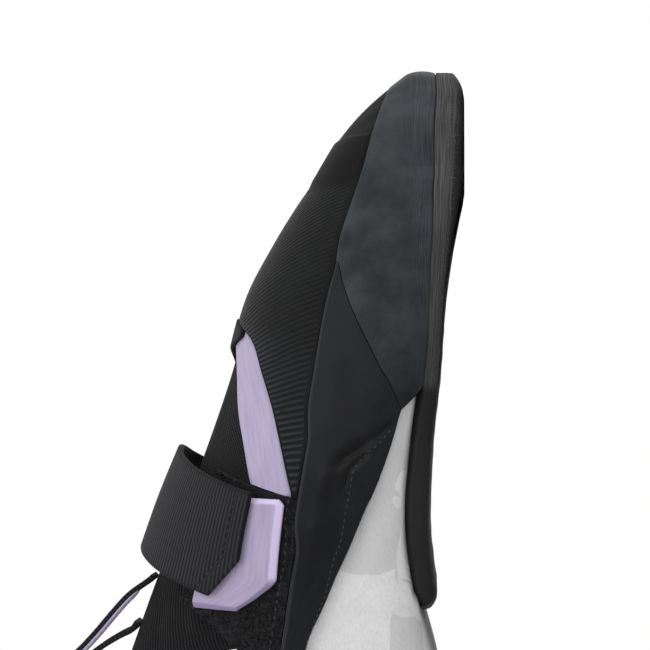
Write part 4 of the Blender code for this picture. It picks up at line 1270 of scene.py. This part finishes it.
class SHOE_OT_outsole(bpy.types.Operator):
    """Half sole with its ground edge"""
    bl_idname = "shoe.outsole"
    bl_label = "Outsole"

    def execute(self, context):
        grid = Grid(at_end(SOLE_END), at_end(SOLE_END, inner=True), whole(0), at_rise(SOLE_LINE), 300, 56,
                    EDGE_BEVEL)
        lip = GAP + EDGE_LIP
        from_line = grid.from_high
        from_rear = np.minimum(grid.from_start, grid.from_end) / (EDGE_BEVEL / 2)
        side = np.interp(from_line / EDGE_BEVEL, BEVEL["across"], BEVEL["height"])
        rear = 1 - (1 - np.clip(from_rear, 0, 1)) ** 2.2
        stand = lip + (GROUND - lip) * np.minimum(side, rear)
        place = last_y(grid.base)
        front = eased(place, *GROUND_BAND_START)
        ground = front * (1 - eased(from_line, EDGE_BEVEL * 0.95, EDGE_BEVEL * 1.12))
        fold = front * bell(from_line, EDGE_BEVEL * 1.05, 0.0013)
        ripple_and_shade_lift = 0.00010 * np.sin(place * 900) * bell(from_line, EDGE_BEVEL, 0.002)
        run = run_along(grid.base[:, -1], 0)[:, None]
        uv = np.stack([run + 0 * from_line, from_line], -1) * 1000
        piece = cut("outsole_rubber", grid, GAP, stand, [climbing_rubber], SOLE_ROUND, ripple_and_shade_lift,
                    {"ground": ground, "fold": fold}, uv=uv)
        stands_for(piece, "sole_rubber", "outsole")
        return {"FINISHED"}


class SHOE_OT_upper(bpy.types.Operator):
    """Suede shell with its folds and lining"""
    bl_idname = "shoe.upper"
    bl_label = "Upper"

    def execute(self, context):
        grid = Grid(None, None, margin_edge, upper_edge, 440, 76, UPPER_BORDER)
        place = last_y(grid.base)
        sole_top = curve(SOLE_LINE, "rise", along(grid.ways))
        beside_sole = place > SOLE_END["along"][-1] * LENGTH
        sole_rear = np.interp(grid.rises, SOLE_END["rise"], SOLE_END["along"]) * LENGTH
        under = grid.rises < 0.25
        # The suede is darker along the sole's top edge and just behind the sole's rear end.
        darker_by_sole = bell(grid.rises, sole_top, 0.012) * beside_sole
        darker_by_sole = darker_by_sole + bell(place, sole_rear - 0.001, 0.0016) * under
        glue = bell(place, sole_rear, 0.0006) * under
        piece = cut("suede_upper", grid, -WALL, 0.0, [microsuede, lining], SUEDE_ROUND,
                    folds(grid.base, SUEDE_FOLDS), {"darker_by_sole": np.clip(darker_by_sole, 0, 1), "glue": glue}, SOFT_ROUND)
        stands_for(piece, "suede", "upper")
        return {"FINISHED"}


class SHOE_OT_insole(bpy.types.Operator):
    """Board inside the shoe"""
    bl_idname = "shoe.insole"
    bl_label = "Insole"

    def execute(self, context):
        grid = Grid(None, None, whole(0), whole(INSOLE_EDGE), 240, 16, SOFT_ROUND)
        outer = grid.at(-WALL - GAP)
        inner = grid.at(-WALL - GAP - BOARD + grid.rounding(SOFT_ROUND))
        piece = shell("insole_board", outer, inner, surface_mm(outer), [insole_board], on_seam(grid.rises),
                      closed=True)
        stands_for(piece, "insole_board", "insole")
        return {"FINISHED"}


def rand_marks(grid, relief, shade_lift_limit):
    """Painted shade in the rand's creases, a painted highlight on its upper rim and in streaks near the
    sole seam, and how far its painted shade is lifted towards the toe.
    """
    return {
        # Painted shade, deepest in the troughs of the folds.
        "crease_shade": np.clip(-relief / 0.0006, 0, 1),
        # Painted highlight on the rand's upper rim.
        "rim": bell(grid.from_high, 0.0005, 0.0004),
        # Painted highlight in streaks near the sole seam.
        "seam_highlight": bell(grid.from_low, 0.003, 0.005),
        "ripple_and_shade_lift": shade_lift_limit * eased(last_y(grid.base) / LENGTH, 0.52, 0.75)}


class SHOE_OT_rands(bpy.types.Operator):
    """Front rand and the tension band round the heel"""
    bl_idname = "shoe.rands"
    bl_label = "Rands"

    def execute(self, context):
        front = Grid(at_end(FRONT_RAND_END), at_end(FRONT_RAND_END, inner=True),
                     moved(at_rise(SOLE_LINE), SEAM), at_rise(RAND_TOP), 240, 40, RUBBER_BORDER)
        toe_relief = 0.00025 * bell(front.rises, 0.46, 0.05) + folds(front.base, TOE_FOLDS)
        side = Grid(at_end(FRONT_RAND_END, -SEAM, inner=True), past_heel(at_end(FRONT_RAND_END, -SEAM)),
                    at_rise(SIDE_BAND_FOOT), at_rise(RAND_TOP), 460, 46, RUBBER_BORDER)
        side_relief = folds(side.base, RAND_FOLDS)
        # The last number is how far each rand's painted shade is lifted towards the toe.
        for name, node, grid, relief, shade_lift_limit in (
                ("front_rand_rubber", "front_rand", front, toe_relief, 1.0),
                ("side_rand_rubber", "side_rand", side, side_relief, 0.15)):
            piece = cut(name, grid, GAP, GAP + RAND, [rand_rubber], THIN_ROUND, relief,
                        rand_marks(grid, relief, shade_lift_limit))
            stands_for(piece, "rand_rubber", node)
        return {"FINISHED"}


class SHOE_OT_heel_cup(bpy.types.Operator):
    """Moulded heel rubber"""
    bl_idname = "shoe.heel_cup"
    bl_label = "Heel cup"

    def execute(self, context):
        grid = Grid(at_end(HEEL_FRONT, inner=True), past_heel(at_end(HEEL_FRONT)), whole(0),
                    moved(at_rise(SIDE_BAND_FOOT), -SEAM), 220, 56, HEEL_BORDER)
        side = GAP + HEEL_SIDE
        up_sides = np.clip((grid.rises - FLAT_EDGE) / (WALL_START - FLAT_EDGE), 0, 1)
        from_front = np.clip(np.minimum(grid.from_start, grid.from_end) / 0.004, 0, 1)
        stand = side + (GROUND - side) * (1 - up_sides) * (1 - (1 - from_front) ** 2)
        height = grid.base[..., 2]
        groove = sum(bell(height, level, 0.0008, 4) for level in HEEL_GROOVES)
        behind = 1 - eased(last_y(grid.base), 0.016, 0.022)
        piece = cut("heel_rubber", grid, GAP, stand, [climbing_rubber], RUBBER_ROUND,
                    -GROOVE_DEPTH * groove * behind, {"ground": 0 * height, "fold": 0 * height})
        stands_for(piece, "sole_rubber", "heel_cup")
        return {"FINISHED"}


class SHOE_OT_toe_patch(bpy.types.Operator):
    """Ribbed rubber over the toes"""
    bl_idname = "shoe.toe_patch"
    bl_label = "Toe patch"

    def execute(self, context):
        grid = Grid(whole(outer_way(PATCH_REAR)), whole(inner_way(PATCH_REAR)),
                    moved(at_rise(RAND_TOP), SEAM), moved(at_rise(TRIM_OUTER), -GAP),
                    320, 84, RUBBER_BORDER)
        y = last_y(grid.base)
        place = y / LENGTH
        steps = np.interp(place, PATCH_STEPS["along"], PATCH_STEPS["height"])
        steps = steps * eased(grid.from_low, 0.0002, 0.0010)
        ribbed = (1 - eased(place, 0.850, 0.858)) * eased(grid.edge(), 0.0008, 0.0014)
        # The ribs stand out more towards the trim: deeper in relief and with a stronger painted highlight
        # on their crowns.
        ribbed *= 0.4 + 0.6 * np.exp(-grid.from_high / 0.012)
        sideways = grid.base[..., 0] - MIDDLE[0] - section("lean", y, BALL_WIDTH)
        fan = 0.12 + 0.60 * np.clip((place - 0.50) / 0.36, 0, 1)
        rib_place = y - fan * np.sqrt(sideways ** 2 + 0.006 ** 2)
        piece = cut("toe_patch_rubber", grid, GAP, GAP + PATCH, [ribbed_rubber], RUBBER_ROUND, steps,
                    {"ribbed": ribbed, "rib_place": rib_place})
        stands_for(piece, "rand_rubber", "toe_patch")
        return {"FINISHED"}


def over_the_foot(low_edge, start, end, rows, columns, close):
    """A grid across the foot, from the outer edge over the crest to the inner one. Returns ways and rises,
    each point's share across and its share lengthways."""
    rows = int(rows * DETAIL)
    columns = int(columns * DETAIL)
    shares = spread(columns, np.full(rows + 10, TONGUE_ACROSS), close)
    share = shares[:1] + np.zeros((rows + 10, 1))
    run = spread(rows, np.full(1, TONGUE_LONG), close).T + 0 * share
    place = 0.5 + 0 * share
    for _ in range(14):
        low = low_edge(outer_way(place[:, :1]))
        high = 2 - low_edge(inner_way(place[:, -1:]))
        across = low + (high - low) * share
        rise = np.where(across > 1, 2 - across, across)
        place = start(rise) * (1 - run) + end(rise) * run
    ways = np.where(across > 1, inner_way(place), outer_way(place))
    return ways, rise, share, run


class SHOE_OT_tongue(bpy.types.Operator):
    """Knit tongue with a bound edge and soft folds"""
    bl_idname = "shoe.tongue"
    bl_label = "Tongue"

    def execute(self, context):
        tip = THROAT["along"][-1] - 2 * GAP / LENGTH
        ways, rises, share, run = over_the_foot(
            moved(at_rise(THROAT), GAP),
            lambda rise: np.interp(rise, TONGUE_TOP["rise"], TONGUE_TOP["along"]),
            whole(tip), 190, 120, TONGUE_BORDER)
        base = skin(ways, rises)
        normals = skin_normal(ways, rises)
        drop = rounded(np.minimum(np.minimum(share, 1 - share) * TONGUE_ACROSS,
                                  np.minimum(run, 1 - run) * TONGUE_LONG), SOFT_ROUND)
        binding = 0.0005 * bell(run * TONGUE_LONG, 0.0028, 0.0022, 4)
        outer = base + normals * (folds(base, TONGUE_FOLDS) + binding - drop)[..., None]
        inner = base + normals * (-KNIT + drop - 0.6 * binding)[..., None]
        uv = np.stack([last_y(base), run_along(base, 1)], -1) * 1000
        piece = shell("knit_tongue", outer, inner, uv, [ribbed_knit, lining])
        stands_for(piece, "knit", "tongue")
        return {"FINISHED"}


def over_the_crest(legs):
    """Joins an outer grid and an inner one that meet on the crest. Returns points, normals, rises and
    surface map."""
    ways, rises = (np.vstack([getattr(leg, key) for leg in legs]) for key in ("ways", "rises"))
    base, normals = framed(ways, rises)
    return base, normals, rises, np.vstack([surface_mm(leg.base) for leg in legs])


class SHOE_OT_throat_trim(bpy.types.Operator):
    """Moulded strip round the throat and the dark point sewn over its end"""
    bl_idname = "shoe.throat_trim"
    bl_label = "Throat trim"

    def execute(self, context):
        self.strip()
        self.point()
        return {"FINISHED"}

    def strip(self):
        point = TRIM_OUTER["along"][-1]
        edges = (at_rise(TRIM_OUTER), at_rise(TRIM_INNER), 150, 16, TRIM_BORDER)
        legs = (Grid(at_end(PILE_FRONT, GAP), whole(outer_way(point)), *edges),
                Grid(whole(inner_way(point)), at_end(PILE_FRONT, GAP, inner=True), *edges))
        base, normals, rises, uv = over_the_crest(legs)
        edge = np.vstack([np.minimum(leg.from_low, leg.from_high) for leg in legs])
        crown = 0.0003 * np.clip(edge / 0.002, 0, 1)
        stand = GAP + TRIM - rounded(edge, TRIM_ROUND) + crown + folds(base, TRIM_FOLDS)
        piece = shell("throat_strip", base + normals * stand[..., None], base + normals * GAP, uv,
                      [moulded_grip], on_seam(rises))
        stands_for(piece, "moulded_trim", "throat_trim")

    def point(self):
        first, last = BINDING["along"][0], BINDING["along"][-1]
        edges = (at_rise(BINDING), whole(1), 44, 20, TRIM_BORDER)
        legs = (Grid(whole(outer_way(first)), whole(outer_way(last)), *edges),
                Grid(whole(inner_way(last)), whole(inner_way(first)), *edges))
        base, normals, rises, uv = over_the_crest(legs)
        edge = np.vstack([
            np.minimum(leg.from_low, np.minimum(leg.from_start, leg.from_end)) for leg in legs])
        # Its rear end dips under the strip and its front lies on the toe patch.
        stand = -POINT_THICK + 0.00245 * eased(last_y(base) / LENGTH, 0.653, 0.674)
        outer = base + normals * (stand + POINT_THICK - rounded(edge, POINT_ROUND))[..., None]
        inner = base + normals * stand[..., None]
        piece = shell("throat_point", outer, inner, uv, [grosgrain], on_seam(rises))
        stands_for(piece, "webbing")


class SHOE_OT_loop_patch(bpy.types.Operator):
    """Loop half of the fastening: backing and its loops of yarn"""
    bl_idname = "shoe.loop_patch"
    bl_label = "Loop patch"

    def execute(self, context):
        grid = Grid(whole(outer_way(PILE_TOP["along"][0])), at_end(PILE_FRONT),
                    moved(at_rise(RAND_TOP), 2 * GAP), at_rise(PILE_TOP), 80, 40, FASTENING_BORDER)
        rough = 0.00012 * np.sin(grid.base[..., 1] * 5200) * np.sin(grid.base[..., 2] * 4700)
        piece = cut("loop_backing", grid, GAP, GAP + 0.55 * PILE, [loop_yarn], THIN_ROUND, rough)
        stands_for(piece, "loop_pile", "loop_patch")
        rows, columns = grid.ways.shape
        face = bpy.data.meshes.new("pile_face")
        face.from_pydata(grid.at(GAP + 0.5 * PILE).reshape(-1, 3).tolist(), [],
                         quads(rows, columns, 0, False, False).tolist())
        yarn = grown("loop_yarns", face, pile_tree(), {
            "Density": PILE_DENSITY * DETAIL, "Loop height": PILE_LOOP, "Seed": 7,
            "Material": in_finish(loop_yarn)})
        stands_for(yarn, "loop_pile")
        return {"FINISHED"}


def strap_grid(rows, columns):
    """Ways, rises and stand of the strap, its place over the foot and its share from front to rear."""
    place = spread(columns, np.full(1, STRAP_WIDTH), 0.0005) + np.zeros((rows + 10, 1))
    point = STRAP_POINT * np.clip((place - STRAP_POINT_START) / (1 - STRAP_POINT_START), 0, 1)
    run = spread(rows, np.full(1, STRAP_LONG), 0.0005).T
    first, last = STRAP["across"][0], STRAP["across"][-1]
    across = first + point + (last - first - point) * run
    front = curve(STRAP, "front", across)
    rear = curve(STRAP, "rear", across)
    where = front + (rear - front) * place
    ways = np.where(across > 1, inner_way(where), outer_way(where))
    rises = np.where(across > 1, 2 - across, across)
    return ways, rises, curve(STRAP, "stand", across) * STRAP_STAND, across, place


class SHOE_OT_strap(bpy.types.Operator):
    """Ribbed webbing strap over the tongue, with its line of stitches"""
    bl_idname = "shoe.strap"
    bl_label = "Strap"

    def execute(self, context):
        pitch = context.scene.shoe_colours.strap_rib
        ways, rises, stand, over, place = strap_grid(int(300 * DETAIL), int(40 * DETAIL))
        base = skin(ways, rises)
        normals = skin_normal(ways, rises)
        middle = base + normals * stand[..., None]
        lengthways = run_along(middle, 0)
        across = run_along(middle, 1)
        from_side = np.minimum(across, across[:, -1:] - across)
        from_end = np.minimum(lengthways, lengthways[-1:] - lengthways)
        drop = rounded(np.minimum(from_side, from_end), SOFT_ROUND)
        woven = np.interp(over, over[:, 0], lengthways[:, 0])
        selvage = eased(from_side, 0.0006, 0.0012)
        seam = bell(lengthways, STRAP_STITCH_ROW, 0.0005) * eased(across, 0.001, 0.002)
        hang = 0.0004 * np.sin(np.pi * place) * eased(lengthways, 0.01, 0.03)
        outer = base + normals * (stand + WEBBING - 0.00025 * seam - drop + hang)[..., None]
        inner = base + normals * (stand + 0.4 * drop)[..., None]
        uv = np.stack([across, lengthways], -1) * 1000
        piece = shell("strap_webbing", outer, inner, uv, [grosgrain],
                      values={"rib_count": woven / pitch, "rib_body": 0.35 + 0.65 * selvage})
        stands_for(piece, "webbing", "strap")
        row = int(np.argmin(np.abs(lengthways[:, 5] - STRAP_STITCH_ROW)))
        inset = from_side[row] > STRAP_STITCH_INSET
        line = (base + normals * (stand + WEBBING - 0.00012)[..., None])[row, inset]
        line = through(line, np.linspace(0, len(line) - 1, 120))
        sewn = stitches("strap_stitches", line, STRAP_STITCH_PITCH, STRAP_THREAD, black_thread)
        stands_for(sewn, "webbing")
        return {"FINISHED"}


class SHOE_OT_strap_tab(bpy.types.Operator):
    """Moulded grip under the strap's end"""
    bl_idname = "shoe.strap_tab"
    bl_label = "Strap tab"

    def execute(self, context):
        start, end = TAB_EDGE["along"][0], TAB_EDGE["along"][-1]
        grid = Grid(whole(outer_way(start)), whole(outer_way(end)), at_rise(TAB_EDGE), whole(TAB_TOP),
                    80, 44, FASTENING_BORDER)
        low = 2 * GAP + PILE
        from_side = np.minimum(grid.from_low, np.minimum(grid.from_start, grid.from_end))
        slope = 1 - from_side / TAB_BEVEL
        relief = -0.0011 * np.clip(slope, 0, 1) - 0.0002 * np.clip(grid.edge() / 0.006, 0, 1)
        # The bevel carries painted light: a painted highlight on its sides and painted shade at its rear
        # corner.
        bevel_painted_light = eased(slope, 0.02, 0.12)
        corner = 1 - eased(last_y(grid.base) / LENGTH, 0.407, 0.419)
        piece = cut("strap_grip", grid, low, low + TAB, [moulded_grip], THIN_ROUND, relief,
                    {"bevel_painted_light": bevel_painted_light * (1 - corner), "shade": bevel_painted_light * corner})
        stands_for(piece, "moulded_trim", "strap_tab")
        return {"FINISHED"}


def square_to(run):
    """Unit vectors square to a run in the shoe's upright plane."""
    turned = np.stack([0 * run[:, 0], -run[:, 2], run[:, 1]], -1)
    return turned / np.linalg.norm(turned, axis=-1, keepdims=True)


class SHOE_OT_pull_loop(bpy.types.Operator):
    """Webbing pull loop with its pale edge"""
    bl_idname = "shoe.pull_loop"
    bl_label = "Pull loop"

    def execute(self, context):
        last = PULL_LOOP["along"].size - 1
        coarse = np.linspace(0, last, 3 * last + 1)
        level = skin(outer_way(through(PULL_LOOP["along"], coarse)), np.ones(coarse.shape))[:, 0].mean()
        fine = np.linspace(0, last, int(260 * DETAIL))
        way = outer_way(through(PULL_LOOP["along"], fine))
        stand = through(PULL_LOOP["stand"], fine) * LOOP_STAND
        # Both ends are sewn down, so they lie on the knit.
        stand -= LOOP_ENDS_LOWER * (1 - eased(np.minimum(fine, last - fine), 0.3, 1.6))
        crest = np.ones_like(way)
        up = square_to(skin(way + 0.01, crest) - skin(way - 0.01, crest))
        middle = skin(way, crest) + up * stand[:, None]
        middle[:, 0] = level
        side = square_to(np.gradient(middle, axis=0))
        self.webbing(middle, side)
        part = slice(*(int(share * len(fine)) for share in TAPE_SHARE))
        self.tape(middle[part], side[part], run_along(middle, 0)[part])
        return {"FINISHED"}

    def webbing(self, middle, side):
        run = run_along(middle, 0)[:, None]
        place = spread(12, np.full(1, LOOP_WIDTH), 0.0005)[0]
        lateral = ((place - 0.5) * LOOP_WIDTH)[:, None] * SIDEWAYS
        edge = np.minimum(place, 1 - place) * LOOP_WIDTH + 0 * run
        out = side[:, None] * (LOOP_WEBBING / 2 - rounded(edge, SOFT_ROUND))[..., None]
        uv = np.stack([place * LOOP_WIDTH + 0 * run, run + 0 * place], -1) * 1000
        values = {"rib_count": run / LOOP_RIB + 0 * edge, "rib_body": 0.6 + 0 * edge}
        piece = shell("pull_webbing", middle[:, None] + lateral + out, middle[:, None] + lateral - out, uv,
                      [grosgrain], values=values)
        stands_for(piece, "webbing", "tongue_loop")

    def tape(self, middle, side, run):
        place = np.linspace(0, 1, 8)[None, :]
        share = np.linspace(0, 1, len(run))[:, None]
        thick = np.clip(np.minimum(share, 1 - share) / 0.06, 0, 1) ** 0.5
        height = LOOP_WEBBING / 2 + (0.00025 + 0.0006 * (1 - (2 * place - 1) ** 4)) * thick
        centre = middle[:, None] + (TAPE_MIDDLE + (place - 0.5) * TAPE_WIDTH)[..., None] * SIDEWAYS
        outer = centre + side[:, None] * height[..., None]
        inner = centre + side[:, None] * (LOOP_WEBBING / 2 - 0.0002)
        uv = np.stack([place * 4.2 + 0 * share, run[:, None] * 1000 + 0 * place], -1)
        stands_for(shell("pull_tape", outer, inner, uv, [moulded_grip]), "moulded_trim")


class SHOE_OT_stitches(bpy.types.Operator):
    """Runs of stitches on the side rand, the loop patch and the collar"""
    bl_idname = "shoe.stitches"
    bl_label = "Stitches"

    def execute(self, context):
        pitch = context.scene.shoe_colours.stitch_pitch
        rand = run_on_skin(RAND_STITCH_LINE, GAP + RAND + 0.00002, outer_way, RAND_FOLDS)
        sewn = stitches("rand_stitches", rand, pitch * 0.8, RAND_THREAD, black_thread)
        stands_for(sewn, "rand_rubber")
        shares = np.linspace(0.325, 0.500, 9)
        patch_line = np.stack([shares, curve(RAND_TOP, "rise", shares) + 0.020], -1)
        patch = run_on_skin(patch_line, GAP + PILE + 0.0004, outer_way)
        stands_for(stitches("patch_stitches", patch, pitch, PATCH_THREAD, black_thread), "loop_pile")
        shares = np.linspace(0.14, 0.30, 8)
        for label, side in (("outer", outer_way), ("inner", inner_way)):
            line = np.stack([shares, upper_edge(side(shares)) - 0.035], -1)
            run = run_on_skin(line, 0.00003, side)
            sewn = stitches("collar_stitches_" + label, run, pitch, COLLAR_THREAD, sewing_thread)
            stands_for(sewn, "suede")
        return {"FINISHED"}


class SHOE_OT_stage(bpy.types.Operator):
    """Floor, soft lights and the camera"""
    bl_idname = "shoe.stage"
    bl_label = "Stage"

    def execute(self, context):
        settings = context.scene.shoe_stage
        self.floor(context.scene)
        self.surroundings(context.scene, settings.fill)
        for light in STUDIO_LIGHTS:
            self.lamp(context.scene, settings.key, *light)
        self.camera(context.scene, settings)
        return {"FINISHED"}

    def floor(self, scene):
        turns = [k * 2 * math.pi / FLOOR_CORNERS for k in range(FLOOR_CORNERS)]
        paper = bpy.data.meshes.new("studio_floor")
        paper.from_pydata([(math.cos(t) * FLOOR_RADIUS, math.sin(t) * FLOOR_RADIUS, 0) for t in turns], [],
                          [tuple(range(FLOOR_CORNERS))])
        paper.materials.append(in_finish(studio_paper))
        floor = bpy.data.objects.new("studio_floor", paper)
        scene.collection.objects.link(floor)

    def surroundings(self, scene, fill):
        """Plain white to the camera and dimmer as a light."""
        world = bpy.data.worlds.new("studio")
        world.use_nodes = True
        tree = world.node_tree
        sky = tree.nodes["Background"]
        sky.inputs["Color"].default_value = linear("#ffffff")
        seen = add(tree, "ShaderNodeLightPath").outputs["Is Camera Ray"]
        tree.links.new(math_node(tree, "MULTIPLY_ADD", seen, 1.0 - fill, fill), sky.inputs["Strength"])
        scene.world = world
        scene.view_settings.view_transform = "Standard"

    def lamp(self, scene, key, label, place, aim, size, share):
        light = bpy.data.lights.new(label, "AREA")
        light.size = size
        light.energy = key * share
        lamp = bpy.data.objects.new(label, light)
        turn = (Vector(aim) - Vector(place)).to_track_quat("-Z", "Y").to_matrix().to_4x4()
        lamp.matrix_world = Matrix.Translation(place) @ turn
        scene.collection.objects.link(lamp)

    def camera(self, scene, settings):
        camera = bpy.data.cameras.new("camera")
        camera.sensor_width = SENSOR_MM
        camera.sensor_fit = "HORIZONTAL"
        camera.lens = SENSOR_MM * settings.distance / settings.view_width
        camera.clip_start = 0.01
        aim = Vector((AIM_X, settings.aim_y, settings.aim_z))
        back = Vector((math.sin(settings.azimuth), -math.cos(settings.azimuth), 0))
        place = aim + back * settings.distance
        place.z = settings.height
        forward = (aim - place).normalized()
        toe_up = Vector((0, 1, 0))
        right = forward.cross(toe_up).normalized()
        turn = Matrix((right, right.cross(forward), -forward)).transposed().to_4x4()
        eye = bpy.data.objects.new("camera", camera)
        eye.matrix_world = Matrix.Translation(place) @ turn
        scene.collection.objects.link(eye)
        scene.camera = eye


class SHOE_PT_panel(bpy.types.Panel):
    """Pieces of the shoe"""
    bl_idname = "SHOE_PT_panel"
    bl_label = "Climbing shoe"
    bl_space_type = "VIEW_3D"
    bl_region_type = "UI"
    bl_category = "Shoe"

    def draw(self, context):
        for piece in PIECES:
            self.layout.operator(piece.bl_idname)
        for settings in (context.scene.shoe_colours, context.scene.shoe_stage):
            for key in settings.__annotations__:
                self.layout.prop(settings, key)


PIECES = (
    SHOE_OT_outsole, SHOE_OT_upper, SHOE_OT_insole, SHOE_OT_rands, SHOE_OT_heel_cup, SHOE_OT_toe_patch,
    SHOE_OT_tongue, SHOE_OT_throat_trim, SHOE_OT_loop_patch, SHOE_OT_strap, SHOE_OT_strap_tab,
    SHOE_OT_pull_loop, SHOE_OT_stitches, SHOE_OT_stage,
)


def register():
    for group in (ShoeColours, StageSettings, *PIECES, SHOE_PT_panel):
        bpy.utils.register_class(group)
    bpy.types.Scene.shoe_colours = bpy.props.PointerProperty(type=ShoeColours)
    bpy.types.Scene.shoe_stage = bpy.props.PointerProperty(type=StageSettings)


def unregister():
    del bpy.types.Scene.shoe_stage
    del bpy.types.Scene.shoe_colours
    for group in (SHOE_PT_panel, *reversed(PIECES), StageSettings, ShoeColours):
        bpy.utils.unregister_class(group)


def main():
    register()
    for piece in PIECES:
        family, name = piece.bl_idname.split(".")
        getattr(getattr(bpy.ops, family), name)()


if __name__ == "__main__":
    main()
